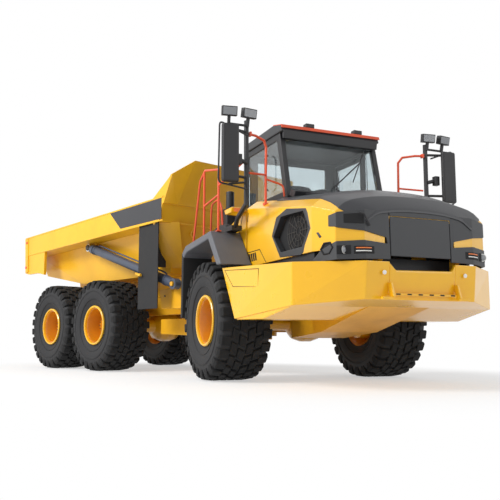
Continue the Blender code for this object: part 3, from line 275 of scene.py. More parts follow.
def add_box(work, x, y, z):
    """A box between two values on each axis."""
    add_prism(work, [(y[0], z[0]), (y[1], z[0]), (y[1], z[1]), (y[0], z[1])], x[0], x[1])


def add_tube(work, points, radius, sides=10):
    """A round bar along points, with mitred bends and flat ends."""
    points = [Vector(point) for point in points]
    loops = []
    first = (points[1] - points[0]).normalized()
    up = first.orthogonal().normalized()
    for i, point in enumerate(points):
        before = (point - points[i - 1]).normalized() if i else first
        after = (points[i + 1] - point).normalized() if i < len(points) - 1 else before
        way = (before + after).normalized()
        up = (up - way * up.dot(way)).normalized()
        across = way.cross(up)
        stretch = 1.0 / max(0.5, way.dot(before))
        side = (after - before)
        ring = []
        for k in range(sides):
            angle = 2 * math.pi * k / sides
            offset = (up * math.cos(angle) + across * math.sin(angle)) * radius
            if side.length > 1e-6:
                bend = side.normalized()
                offset += bend * offset.dot(bend) * (stretch - 1.0)
            ring.append(point + offset)
        loops.append(ring)
    add_loft(work, loops)


def rounded(points, radius, steps=4):
    """The same path with its inner corners rounded."""
    points = [Vector(point) for point in points]
    path = [points[0]]
    for before, corner, after in zip(points, points[1:], points[2:]):
        reach = min(radius, (before - corner).length * 0.45, (after - corner).length * 0.45)
        start = corner + (before - corner).normalized() * reach
        end = corner + (after - corner).normalized() * reach
        for step in range(steps + 1):
            t = step / steps
            path.append(start * (1 - t) ** 2 + corner * 2 * t * (1 - t) + end * t * t)
    path.append(points[-1])
    return path


def add_lathe(work, profile, segments=48, closed=True):
    """Turns a profile of (x, radius) about the X axis. A closed profile makes a ring."""
    loops = []
    for i in range(segments):
        angle = 2 * math.pi * i / segments
        loops.append([(x, r * math.cos(angle), r * math.sin(angle)) for x, r in profile])
    rows = [[work.verts.new(point) for point in loop] for loop in loops]
    count = len(profile)
    for i in range(segments):
        near, far = rows[i], rows[(i + 1) % segments]
        for j in range(count if closed else count - 1):
            k = (j + 1) % count
            work.faces.new((near[j], near[k], far[k], far[j]))
    if not closed:
        work.faces.new([row[0] for row in rows])
        work.faces.new([row[-1] for row in reversed(rows)])


def place_mesh(work, matrix, start=0):
    """Moves the verts that were added since start."""
    work.verts.ensure_lookup_table()
    bmesh.ops.transform(work, matrix=matrix, verts=work.verts[start:])


def link_object(name, data):
    """A new object in the scene."""
    item = bpy.data.objects.new(name, data)
    bpy.context.scene.collection.objects.link(item)
    return item


def soften(item, width, segments=2):
    """Rounds the hard edges by the given width."""
    bevel = item.modifiers.new("Soft edges", "BEVEL")
    bevel.width = width
    bevel.segments = segments
    bevel.limit_method = "ANGLE"
    bevel.angle_limit = math.radians(24)
    bevel.harden_normals = False


def piece(name, work, finish, body, unit=REAR, bevel=0.0, smooth=False, replaces=(), smooth_angle=35):
    """The mesh becomes a piece in the row frame that rides on a body."""
    bmesh.ops.remove_doubles(work, verts=work.verts, dist=1e-5)
    bmesh.ops.recalc_face_normals(work, faces=work.faces)
    mesh = bpy.data.meshes.new(name)
    work.to_mesh(mesh)
    work.free()
    mesh.transform(unit)
    item = link_object(name, mesh)
    mesh.materials.append(MATERIALS[finish])
    if smooth:
        mesh.shade_smooth()
        mesh.set_sharp_from_angle(angle=math.radians(smooth_angle))
    if bevel:
        soften(item, bevel)
    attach(item, body)
    if replaces:
        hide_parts(*replaces)
    return item


def refined(node, finish, bevel, segments=2):
    """A merged copy of a CAD node with softened edges stands for it."""
    source = NODES[node]
    work = bmesh.new()
    work.from_mesh(source.data)
    bmesh.ops.remove_doubles(work, verts=work.verts, dist=1e-5)
    bmesh.ops.dissolve_limit(work, angle_limit=math.radians(1.0), verts=work.verts, edges=work.edges)
    mesh = bpy.data.meshes.new(f"{node}_skin")
    work.to_mesh(mesh)
    work.free()
    item = link_object(f"{node}_skin", mesh)
    mesh.materials.append(MATERIALS[finish])
    soften(item, bevel, segments)
    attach(item, source["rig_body"])
    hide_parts(node)
    return item


# Repeats -----------------------------------------------------------------------------------------

def repeat_tree():
    """Geometry Nodes: copies of a piece, each moved by a step and turned by an angle about an axis."""
    tree = bpy.data.node_groups.new("Repeat", "GeometryNodeTree")
    sockets = tree.interface
    sockets.new_socket("Geometry", in_out="INPUT", socket_type="NodeSocketGeometry")
    sockets.new_socket("Piece", in_out="INPUT", socket_type="NodeSocketObject")
    sockets.new_socket("Count", in_out="INPUT", socket_type="NodeSocketInt")
    sockets.new_socket("Step", in_out="INPUT", socket_type="NodeSocketVector")
    sockets.new_socket("Turn", in_out="INPUT", socket_type="NodeSocketVector")
    sockets.new_socket("First turn", in_out="INPUT", socket_type="NodeSocketVector")
    sockets.new_socket("Material", in_out="INPUT", socket_type="NodeSocketMaterial")
    sockets.new_socket("Geometry", in_out="OUTPUT", socket_type="NodeSocketGeometry")
    add = tree.nodes.new
    link = tree.links.new
    given = add("NodeGroupInput")
    out = add("NodeGroupOutput")
    line = add("GeometryNodeMeshLine")
    link(given.outputs["Count"], line.inputs["Count"])
    link(given.outputs["Step"], line.inputs["Offset"])
    index = add("GeometryNodeInputIndex")
    turn = add("ShaderNodeVectorMath")
    turn.operation = "SCALE"
    link(given.outputs["Turn"], turn.inputs[0])
    link(index.outputs[0], turn.inputs["Scale"])
    whole = add("ShaderNodeVectorMath")
    link(turn.outputs[0], whole.inputs[0])
    link(given.outputs["First turn"], whole.inputs[1])
    source = add("GeometryNodeObjectInfo")
    source.inputs["As Instance"].default_value = True
    link(given.outputs["Piece"], source.inputs["Object"])
    copies = add("GeometryNodeInstanceOnPoints")
    link(line.outputs[0], copies.inputs["Points"])
    link(source.outputs["Geometry"], copies.inputs["Instance"])
    link(whole.outputs[0], copies.inputs["Rotation"])
    real = add("GeometryNodeRealizeInstances")
    link(copies.outputs[0], real.inputs[0])
    finish = add("GeometryNodeSetMaterial")
    link(real.outputs[0], finish.inputs["Geometry"])
    link(given.outputs["Material"], finish.inputs["Material"])
    link(finish.outputs[0], out.inputs["Geometry"])
    return tree


def repeated(work, finish, count, step=(0, 0, 0), turn=(0, 0, 0), first=(0, 0, 0)):
    """Copies of a small shape as one plain mesh."""
    tree = bpy.data.node_groups.get("Repeat") or repeat_tree()
    bmesh.ops.recalc_face_normals(work, faces=work.faces)
    shape = bpy.data.meshes.new("shape")
    work.to_mesh(shape)
    work.free()
    source = link_object("shape", shape)
    carrier = link_object("carrier", bpy.data.meshes.new("carrier"))
    modifier = carrier.modifiers.new("Repeat", "NODES")
    modifier.node_group = tree
    values = {"Piece": source, "Count": count, "Step": step, "Turn": turn, "First turn": first,
              "Material": MATERIALS[finish]}
    for item in tree.interface.items_tree:
        if item.in_out == "INPUT" and item.name in values:
            modifier[item.identifier] = values[item.name]
    bpy.context.view_layer.update()
    graph = bpy.context.evaluated_depsgraph_get()
    mesh = bpy.data.meshes.new_from_object(carrier.evaluated_get(graph))
    carrier.modifiers.remove(modifier)
    for item in (carrier, source):
        bpy.data.objects.remove(item)
    return mesh


def mesh_piece(name, meshes, finish, body, unit, replaces=(), bevel=0.0, smooth=False):
    """Several plain meshes as one piece."""
    work = bmesh.new()
    for mesh in meshes:
        work.from_mesh(mesh)
    return piece(name, work, finish, body, unit, bevel=bevel, smooth=smooth, replaces=replaces)


# Wheels ------------------------------------------------------------------------------------------

def tread_block(reach, inner_x, outer_x, half_angle, skew):
    """One tapered tread block at the top of the tyre, leaning by skew across its width."""
    work = bmesh.new()
    base = TYRE_RADIUS - 0.05
    loops = []
    for radius, shrink in ((base, 0.0), (reach, 0.10)):
        ring = []
        for x, way in ((inner_x, -1), (inner_x, 1), (outer_x, 1), (outer_x, -1)):
            middle = (inner_x + outer_x) / 2
            place = x + (middle - x) * shrink
            angle = half_angle * way * (1 - shrink) + skew * (place - middle)
            ring.append((place, radius * math.sin(angle), radius * math.cos(angle)))
        loops.append(ring)
    add_loft(work, loops)
    return work


def shoulder_lug(side, half_angle):
    """A block that wraps from the tread down the tyre's shoulder."""
    work = bmesh.new()
    section = ((0.235, 0.873), (0.372, 0.855), (0.392, 0.80), (0.388, 0.715), (0.33, 0.72), (0.235, 0.81))
    loops = []
    for share in (-1.0, -0.72, 0.72, 1.0):
        ring = []
        for x, radius in section:
            angle = half_angle * share * (1.0 if radius > 0.75 else 0.62)
            drop = 0.012 if abs(share) == 1.0 else 0.0
            ring.append((side * x, (radius - drop) * math.sin(angle), (radius - drop) * math.cos(angle)))
        loops.append(ring)
    add_loft(work, loops)
    return work


def make_tyre(name, side, unit, y):
    """A ring with bulging walls, two rows of shoulder lugs and two staggered rows of centre blocks."""
    place = Matrix.Translation((side * WHEEL_X, y, TYRE_RADIUS))
    pitches = 26
    step = 2 * math.pi / pitches
    meshes = []
    for way in (-1, 1):
        first = step / 2 if way > 0 else 0.0
        lugs = repeated(shoulder_lug(way, step * 0.33), "Tyre rubber", pitches, turn=(step, 0, 0),
                        first=(first, 0, 0))
        meshes.append(lugs)
        for row, (low, high) in enumerate(((0.125, 0.232), (0.008, 0.115))):
            block = tread_block(TYRE_RADIUS - 0.001, way * low, way * high, step * 0.40, way * 0.5)
            start = first + step * 0.5 * (row + 1)
            meshes.append(repeated(block, "Tyre rubber", pitches, turn=(step, 0, 0), first=(start, 0, 0)))
    for mesh in meshes:
        mesh.transform(place)
    lugs = mesh_piece(f"tread_{name}", meshes, "Tyre rubber", f"wheel_{name}", unit)
    soften(lugs, 0.006, 1)
    wall = [(0.24, 0.832), (0.345, 0.812), (0.375, 0.76), (0.387, 0.68), (0.386, 0.60), (0.372, 0.52),
            (0.345, 0.455)]
    wall += [(0.325, 0.42), (0.318, 0.395), (0.318, 0.375), (0.26, 0.372)]
    profile = [(0.0, 0.838)] + wall + [(-x, r) for x, r in reversed(wall)]
    work = bmesh.new()
    add_lathe(work, profile, 72)
    for x_out in (-1, 1):
        for radius in (0.66, 0.645, 0.50):
            ring = [(x_out * (0.384 if radius > 0.6 else 0.366), radius - 0.006)]
            ring += [(x_out * (0.392 if radius > 0.6 else 0.374), radius),
                     (x_out * (0.384 if radius > 0.6 else 0.366), radius + 0.006)]
            add_lathe(work, ring, 72)
    place_mesh(work, place)
    piece(f"carcass_{name}", work, "Tyre wall", f"wheel_{name}", unit, smooth=True, smooth_angle=50,
          replaces=(f"tyre_{name}",))


def make_rim(name, side, unit, y):
    """A dished rim with a lock ring, a ring of wheel nuts and a domed hub."""
    place = Matrix.Translation((side * WHEEL_X, y, TYRE_RADIUS)) @ Matrix.Diagonal((side, 1, 1, 1))
    ring = [(0.316, 0.374), (0.342, 0.378), (0.354, 0.366), (0.352, 0.345), (0.326, 0.334), (0.312, 0.336)]
    work = bmesh.new()
    add_lathe(work, ring, 64)
    place_mesh(work, place)
    piece(f"lock_ring_{name}", work, "Yellow paint", f"wheel_{name}", unit, smooth=True)
    outer = [(0.314, 0.345), (0.312, 0.318), (0.29, 0.306), (0.09, 0.290), (0.025, 0.258), (0.020, 0.215)]
    outer += [(0.035, 0.205), (0.038, 0.176), (0.115, 0.165), (0.130, 0.145), (0.138, 0.03)]
    inner = [(-0.05, 0.03), (-0.05, 0.26), (-0.30, 0.33), (-0.345, 0.378), (-0.316, 0.374),
             (-0.26, 0.368), (0.26, 0.368)]
    work = bmesh.new()
    add_lathe(work, outer + inner, 64)
    add_lathe(work,
              [(0.130, 0.001), (0.152, 0.001), (0.148, 0.05), (0.130, 0.10), (0.08, 0.10), (0.08, 0.001)],
              32)
    place_mesh(work, place)
    # The dish and hub take the darker orange-brown: painted shade for the dish's depth.
    piece(f"dish_{name}", work, "Rim dish painted shade", f"wheel_{name}", unit, smooth=True, replaces=(f"rim_{name}",))
    nut = bmesh.new()
    hexagon = [(0.235 + 0.014 * math.cos(math.pi * k / 3),
                0.014 * math.sin(math.pi * k / 3)) for k in range(6)]
    add_prism(nut, [(a, b) for a, b in hexagon], 0.018, 0.046)
    nuts = repeated(nut, "Bright steel", 20, turn=(2 * math.pi / 20, 0, 0))
    bolt = bmesh.new()
    hexagon = [(0.120 + 0.010 * math.cos(math.pi * k / 3),
                0.010 * math.sin(math.pi * k / 3)) for k in range(6)]
    add_prism(bolt, hexagon, 0.125, 0.144)
    bolts = repeated(bolt, "Cast steel", 12, turn=(2 * math.pi / 12, 0, 0))
    for mesh in (nuts, bolts):
        mesh.transform(place)
    # The nuts take the same painted shade as the dish.
    mesh_piece(f"nuts_{name}", [nuts], "Rim dish painted shade", f"wheel_{name}", unit)
    mesh_piece(f"hub_bolts_{name}", [bolts], "Cast steel", f"wheel_{name}", unit)


# Dump body ---------------------------------------------------------------------------------------

def body_rail_line(y, share):
    """Height on the side rail: share 0 is its foot and 1 its top."""
    top = 3.10 + (2.96 - 3.10) * (y - 1.02) / (6.71 - 1.02)
    return top - 0.42 * (1.0 - share)


def front_wall_y(z):
    """The y of the body's leaning front wall at a height."""
    return 1.02 + 0.38 * (3.10 - z) / (3.10 - 1.80)


def make_body_fittings():
    """The dark side panel, ribs, chocks, corner posts, the eye and the hoist's pins."""
    refined("dump_body", "Body paint", 0.012, 2)
    work = bmesh.new()
    for name, side in SIDES:
        top = 0.965
        panel = [(1.10, body_rail_line(1.10, 0.06)), (2.46, body_rail_line(2.46, 0.10)),
                 (2.86, body_rail_line(2.86, top))]
        panel += [(1.10, body_rail_line(1.10, top))]
        add_prism(work, panel, side * 1.5295, side * 1.5335)
    piece("side_panels", work, "Hood charcoal", "dump_body", bevel=0.001)
    work = bmesh.new()
    for name, side in SIDES:
        # The rail's rolled top edge and its foot flange.
        for y0, y1, share, size in ((1.06, 6.70, 0.985, 0.018), (1.06, 6.55, 0.0, 0.014)):
            start = (side * 1.525, y0, body_rail_line(y0, share))
            end = (side * 1.525, y1, body_rail_line(y1, share))
            add_tube(work, [start, end], size, 10)
        # Rear corner post and its foot.
        post = [(6.50, 2.16), (6.62, 2.14), (6.70, 2.94), (6.56, 2.94)]
        add_prism(work, post, side * 1.44, side * 1.548)
        add_prism(work, [(6.28, 2.13), (6.52, 2.14), (6.52, 2.24), (6.30, 2.26)], side * 1.20, side * 1.50)
        # Plate that closes the rail's tail down to the raised floor.
        tail = [(5.70, 2.57), (6.68, 2.55), (6.68, 2.14), (6.50, 2.10), (6.00, 2.10), (5.70, 2.04)]
        add_prism(work, tail, side * 1.46, side * 1.522)
        # Wide plate on the front wall that carries the rail's front end.
        loops = []
        for outer_x, inner_x, z in ((1.52, 1.14, 2.69), (1.12, 0.86, 1.90)):
            y = front_wall_y(z)
            loops.append([(side * outer_x, y + 0.20, z), (side * inner_x, y - 0.045, z),
                          (side * inner_x, y + 0.01, z), (side * outer_x, y + 0.25, z)])
        add_loft(work, loops)
        # Horizontal folds on the front wall.
        add_tube(work,
                 [(0.0, front_wall_y(2.67) - 0.004, 2.67),
                  (side * 1.14, front_wall_y(2.67) - 0.004, 2.67)], 0.016, 8)
        # Peg that holds the flap.
        add_tube(work,
                 [(side * 1.50, 1.92, 1.79), (side * 1.545, 1.78, 1.76), (side * 1.545, 1.70, 1.75)],
                 0.028, 8)
        # Hoist pin block on the side.
        add_prism(work, [(3.86, 2.40), (4.22, 2.40), (4.16, 2.64), (3.92, 2.64)], side * 1.10, side * 1.22)
    piece("body_ribs", work, "Body paint", "dump_body", bevel=0.006)
    work = bmesh.new()
    for x in (-0.74, 0.74):
        ring = []
        for k in range(20):
            angle = 2 * math.pi * k / 20
            ring.append((x + 0.055 * math.cos(angle), 1.215, 2.52 + 0.055 * math.sin(angle)))
        add_tube(work, ring + [ring[0]], 0.016, 8)
        add_box(work, (x - 0.03, x + 0.03), (1.19, 1.26), (2.57, 2.66))
    piece("lifting_eyes", work, "Body paint", "dump_body", smooth=True)
    work = bmesh.new()
    for name, side in SIDES:
        # Black sheet between the flap and the wide plate: painted shade for the shadowed gap between them.
        add_box(work, (side * 1.14, side * 1.485), (1.50, 1.512), (1.90, 2.62))
    piece("flap_curtains", work, "Flap rubber and painted shade", "dump_body")
    # The reflectors' red material glows a little: painted glow, as reflectors are no lamps.
    work = bmesh.new()
    for name, side in SIDES:
        for z in (2.24, 2.82):
            add_box(work, (side * 1.547, side * 1.556), (6.56, 6.62), (z, z + 0.05))
    piece("corner_reflectors", work, "Red lamp", "dump_body", bevel=0.002)


def make_hoist_fittings():
    """Gland rings, hose ports and pin caps on the two hoist cylinders."""
    for name, side in SIDES:
        foot = Vector((side * 1.30, 0.98, 1.56))
        head = Vector((side * 1.30, 4.04, 2.50))
        way = (head - foot).normalized()
        length = (head - foot).length
        turn = Vector((1, 0, 0)).rotation_difference(way).to_matrix().to_4x4()
        work = bmesh.new()
        rings = ((0.25, 0.06, 0.096), (length - 0.34, 0.03, 0.094), (length - 0.25, 0.11, 0.100))
        for start, depth, radius in rings:
            add_lathe(work, [(start, 0.0855), (start, radius - 0.004), (start + 0.004, radius),
                             (start + depth - 0.004, radius), (start + depth, radius - 0.004),
                             (start + depth, 0.0855)], 32)
        place_mesh(work, Matrix.Translation(foot) @ turn)
        side_way = Vector((side, 0, 0))
        lift = way.cross(side_way).normalized() * -side
        pipe = [foot + way * 0.30 + lift * 0.10, foot + way * 0.36 + lift * 0.125,
                foot + way * (length - 0.40) + lift * 0.125,
                foot + way * (length - 0.34) + lift * 0.10]
        add_tube(work, rounded(pipe, 0.04), 0.016, 8)
        piece(f"hoist_glands_{name}", work, "Cylinder paint", f"hoist_barrel_{name}", smooth=True)
        work = bmesh.new()
        add_lathe(work,
                  [(-0.075, 0.0), (-0.075, 0.05), (-0.06, 0.062), (0.06, 0.062), (0.075, 0.05),
                   (0.075, 0.0)], 24, closed=False)
        place_mesh(work, Matrix.Translation(head))
        piece(f"hoist_head_pin_{name}", work, "Cast steel", f"hoist_rod_{name}", smooth=True)


def make_frame_fittings():
    """Rounded frames, the side box of the hoist's foot and the low beams."""
    refined("rear_frame", "Frame paint", 0.012)
    refined("front_frame", "Frame paint", 0.010)
    refined("hitch", "Cast steel", 0.008)
    for node in ("bogie_beam_left", "bogie_beam_right"):
        refined(node, "Frame paint", 0.015)
    work = bmesh.new()
    for name, side in SIDES:
        add_prism(work, [(1.12, 1.16), (1.66, 1.16), (1.72, 1.50), (1.12, 1.54)], side * 1.02, side * 1.12)
        add_prism(work, [(0.75, 0.66), (2.10, 0.70), (2.10, 0.98), (0.75, 0.98)], side * 0.62, side * 0.82)
        add_box(work, (side * 0.50, side * 1.04), (1.20, 1.60), (1.20, 1.40))
        add_box(work, (side * 0.40, side * 0.64), (0.95, 1.25), (0.80, 1.20))
    piece("rear_outriggers", work, "Frame paint", "rear_unit", bevel=0.012)
    work = bmesh.new()
    for name, side in SIDES:
        for y in (1.24, 1.54):
            add_tube(work, [(side * 1.118, y, 1.38), (side * 1.130, y, 1.38)], 0.018, 12)
    piece("outrigger_bolts", work, "Cast steel", "rear_unit")
    work = bmesh.new()
    for offset in (0.0, 0.055, 0.11):
        for side in (-1, 1):
            hose = [(side * (0.25 + offset), 0.45, 1.50), (side * (0.30 + offset), 0.62, 1.62),
                    (side * (0.30 + offset), 0.9, 1.52)]
            add_tube(work, rounded(hose, 0.08), 0.02, 8)
    piece("hitch_hoses", work, "Black plastic", "rear_unit", smooth=True)


# Hood --------------------------------------------------------------------------------------------

def hood_height(section, x):
    """Height of the crowned top over x on one section."""
    y, half, shoulder, crown = section
    over = abs(x) - (half - HOOD_SHOULDER)
    if over > 0:
        return shoulder - HOOD_CHAMFER_DROP * over / HOOD_SHOULDER
    share = abs(x) / (half - HOOD_SHOULDER)
    return shoulder + (crown - shoulder) * 1.18 * (1 - share ** 2.6)


def section_at(y):
    """The hood's half width, shoulder and crown between its known sections."""
    for near, far in zip(HOOD_SECTIONS, HOOD_SECTIONS[1:]):
        if far[0] <= y <= near[0]:
            share = (y - near[0]) / (far[0] - near[0])
            return (y, *(a + (b - a) * share for a, b in zip(near[1:], far[1:])))
    return HOOD_SECTIONS[0] if y > HOOD_SECTIONS[0][0] else HOOD_SECTIONS[-1]


def border(grid):
    """The vertices round the edge of a grid of rows, in order."""
    near = [row[0] for row in grid]
    far = [row[-1] for row in reversed(grid[:-1])]
    return near + grid[-1][1:] + far + grid[0][-2:0:-1]


def make_hood_top():
    """The charcoal top: a crowned shell that runs from the windshield over the front edge."""
    work = bmesh.new()
    columns = 24
    stations = [-2.60, -2.75, -3.0, -3.3, -3.6, -3.85, -4.02, -4.14, -4.20, -4.28, NOSE_Y]
    top = []
    for y in stations:
        section = section_at(y)
        front = max(0.0, (-y - 3.6) / 0.74)
        half = section[1] - HOOD_SHOULDER + 0.02 + 0.18 * front ** 3
        half = min(half, section[1] - 0.01)
        row = []
        for k in range(columns + 1):
            x = half * (2 * k / columns - 1)
            row.append((x, y, hood_height(section, x) + 0.016))
        top.append(row)
    nose = [(x, NOSE_Y - 0.022, z - 0.035) for x, y, z in top[-1]]
    top.append(nose)
    rows = [[work.verts.new(point) for point in row] for row in top]
    under = [[work.verts.new((x, y, z - 0.03)) for x, y, z in row] for row in top]
    for grid, flip in ((rows, False), (under, True)):
        for near, far in zip(grid, grid[1:]):
            for k in range(columns):
                quad = (near[k], near[k + 1], far[k + 1], far[k])
                work.faces.new(tuple(reversed(quad)) if flip else quad)
    edge = border(rows)
    low = border(under)
    for k in range(len(edge)):
        j = (k + 1) % len(edge)
        work.faces.new((edge[k], edge[j], low[j], low[k]))
    piece("hood_top", work, "Hood charcoal", "hood", FRONT, bevel=0.006, smooth=True)
    work = bmesh.new()
    for x in (-0.50, 0.50):
        line = [(x * (0.9 + 0.14 * s), y, hood_height(section_at(y), x) + 0.012) for s,
                y in enumerate((-4.15, -3.6, -3.1, -2.7))]
        add_tube(work, line, 0.010, 8)
    cowl = [(-2.60, 2.56), (-2.66, 2.64), (-2.52, 2.70), (-2.46, 2.62)]
    add_prism(work, cowl, -0.80, 0.80)
    piece("hood_ribs", work, "Hood charcoal", "hood", FRONT, bevel=0.004, smooth=True)


def nose_plan(x, proud=0.0):
    """The nose's y at x: flat in front, then turned back round the two corners."""
    width = abs(x)
    if width <= 0.78:
        return NOSE_Y - proud
    if width <= 1.08:
        return NOSE_Y + (width - 0.78) * (0.14 / 0.30) - proud
    return -4.20 + (width - 1.08) * (0.35 / 0.12) - proud


def nose_sheet(work, outline, proud, depth, cuts=14):
    """A plate that follows the nose's plan. The outline is a list of (x, low z, high z) columns."""
    columns = []
    for (x0, low0, high0), (x1, low1, high1) in zip(outline, outline[1:]):
        for k in range(cuts):
            share = k / cuts
            columns.append((x0 + (x1 - x0) * share, low0 + (low1 - low0) * share,
                            high0 + (high1 - high0) * share))
    columns.append(outline[-1])
    loops = []
    for x, low, high in columns:
        y = nose_plan(x, proud)
        back = nose_plan(x, proud - depth)
        lean = 0.018
        loops.append([(x, y, low), (x, y + lean * (high - low), high),
                      (x, back + lean * (high - low), high), (x, back, low)])
    add_loft(work, loops)


def make_nose():
    """The dark mask with its raised centre, the lamp bands, the lamps and the hatch with its latch."""
    wing = [(-1.115, 1.90, 2.03), (-1.06, 1.875, 2.06), (-0.80, 1.84, 2.085), (-0.49, 1.775, 2.095),
            (-0.44, 1.55, 2.095)]
    work = bmesh.new()
    nose_sheet(work, wing, 0.014, 0.03)
    nose_sheet(work, [(-x, low, high) for x, low, high in reversed(wing)], 0.014, 0.03)
    nose_sheet(work, [(-0.44, 2.035, 2.095), (0.44, 2.035, 2.095)], 0.014, 0.03)
    piece("nose_mask", work, "Panel charcoal", "hood", FRONT, bevel=0.003)
    work = bmesh.new()
    centre = [(-0.432, 1.56, 2.03), (0.432, 1.56, 2.03)]
    nose_sheet(work, centre, 0.018, 0.016, 4)
    piece("grille_cover", work, "Panel charcoal", "grille", FRONT, bevel=0.008, replaces=("grille",))
    work = bmesh.new()
    for side in (-1, 1):
        band = [(1.195, 1.50, 1.525), (1.15, 1.50, 1.64), (1.08, 1.505, 1.715), (0.80, 1.51, 1.73),
                (0.44, 1.52, 1.70)]
        band = [(side * x, low, high) for x, low, high in band]
        nose_sheet(work, band if side < 0 else list(reversed(band)), 0.018, 0.03)
    piece("lamp_bands", work, "Panel charcoal", "hood", FRONT, bevel=0.004)
    for side, label in ((-1, "right"), (1, "left")):
        work = bmesh.new()
        # Dark sheets round the lamps: painted shade for the pockets they sit in.
        pocket = [(side * 1.08, 1.565, 1.665), (side * 0.93, 1.565, 1.67)]
        nose_sheet(work, sorted(pocket), 0.022, 0.006, 4)
        nose_sheet(work, sorted([(side * 0.90, 1.57, 1.66), (side * 0.66, 1.575, 1.66)]), 0.021, 0.006, 4)
        piece(f"lamp_pocket_{label}", work, "Dark void", "hood", FRONT, bevel=0.002)
        centre = Vector((side * 1.005, nose_plan(1.005, 0.024), 1.615))
        turn = Matrix.Rotation(math.radians(90 + side * -22), 4, "Z") @ Matrix.Diagonal((-1, 1, 1, 1))
        work = bmesh.new()
        add_lathe(work, [(0.0, 0.0), (0.0, 0.040), (0.006, 0.036), (0.012, 0.02), (0.014, 0.0)], 28,
                  closed=False)
        place_mesh(work, Matrix.Translation(centre) @ turn)
        piece(f"headlamp_lens_{label}", work, "Clear lens", "hood", FRONT, smooth=True)
        work = bmesh.new()
        add_lathe(work, [(-0.002, 0.038), (0.006, 0.050), (0.010, 0.046), (0.008, 0.040)], 28)
        place_mesh(work, Matrix.Translation(centre) @ turn)
        piece(f"headlamp_ring_{label}", work, "Bright steel", "hood", FRONT, smooth=True)
        for finish, low in (("Amber lamp", 1.632), ("White lamp", 1.597)):
            work = bmesh.new()
            nose_sheet(work,
                       sorted([(side * 0.88, low, low + 0.012), (side * 0.70, low + 0.002, low + 0.014)]),
                       0.026, 0.006, 4)
            piece(f"light_bar_{finish.split()[0].lower()}_{label}", work, finish, "hood", FRONT,
                  bevel=0.002)
    work = bmesh.new()
    nose_sheet(work, [(-1.0, 1.93, 2.035), (-0.79, 1.92, 2.045)], 0.019, 0.006, 4)
    piece("latch_hatch", work, "Dark void", "hood", FRONT, bevel=0.003)
    work = bmesh.new()
    handle = [(-0.86, NOSE_Y - 0.03, 2.04), (-0.80, NOSE_Y - 0.045, 2.03), (-0.78, NOSE_Y - 0.045, 1.98),
              (-0.72, NOSE_Y - 0.03, 1.90)]
    add_tube(work, rounded(handle, 0.03), 0.012, 8)
    piece("latch_handle", work, "Black plastic", "hood", FRONT, smooth=True)


def strip(work, points, side, width=0.012, proud=0.0015):
    """A thin seam that follows points (y, z) on the hood's side."""
    for (y0, z0), (y1, z1) in zip(points, points[1:]):
        way = Vector((y1 - y0, z1 - z0)).normalized() * width / 2
        off = Vector((-way.y, way.x))
        a, b = Vector((y0, z0)) - way, Vector((y1, z1)) + way
        add_prism(work, [a + off, b + off, b - off, a - off], side * (HOOD_HALF - 0.004),
                  side * (HOOD_HALF + proud))


FAN_OUTLINE = ((-2.74, 1.97), (-2.88, 2.20), (-3.19, 2.265), (-3.71, 2.18), (-4.00, 1.79), (-3.57, 1.62),
               (-2.99, 1.655))
FAN_CUT = ((-2.79, 1.95), (-3.02, 2.185), (-3.22, 2.18), (-3.645, 2.16), (-3.79, 1.94), (-3.61, 1.72),
           (-3.01, 1.72))


def hood_side_x(y):
    """Half width of the hood's side, which bends inward toward the nose."""
    return HOOD_HALF - max(0.0, HOOD_BEND_Y - y) * HOOD_BEND_SLOPE


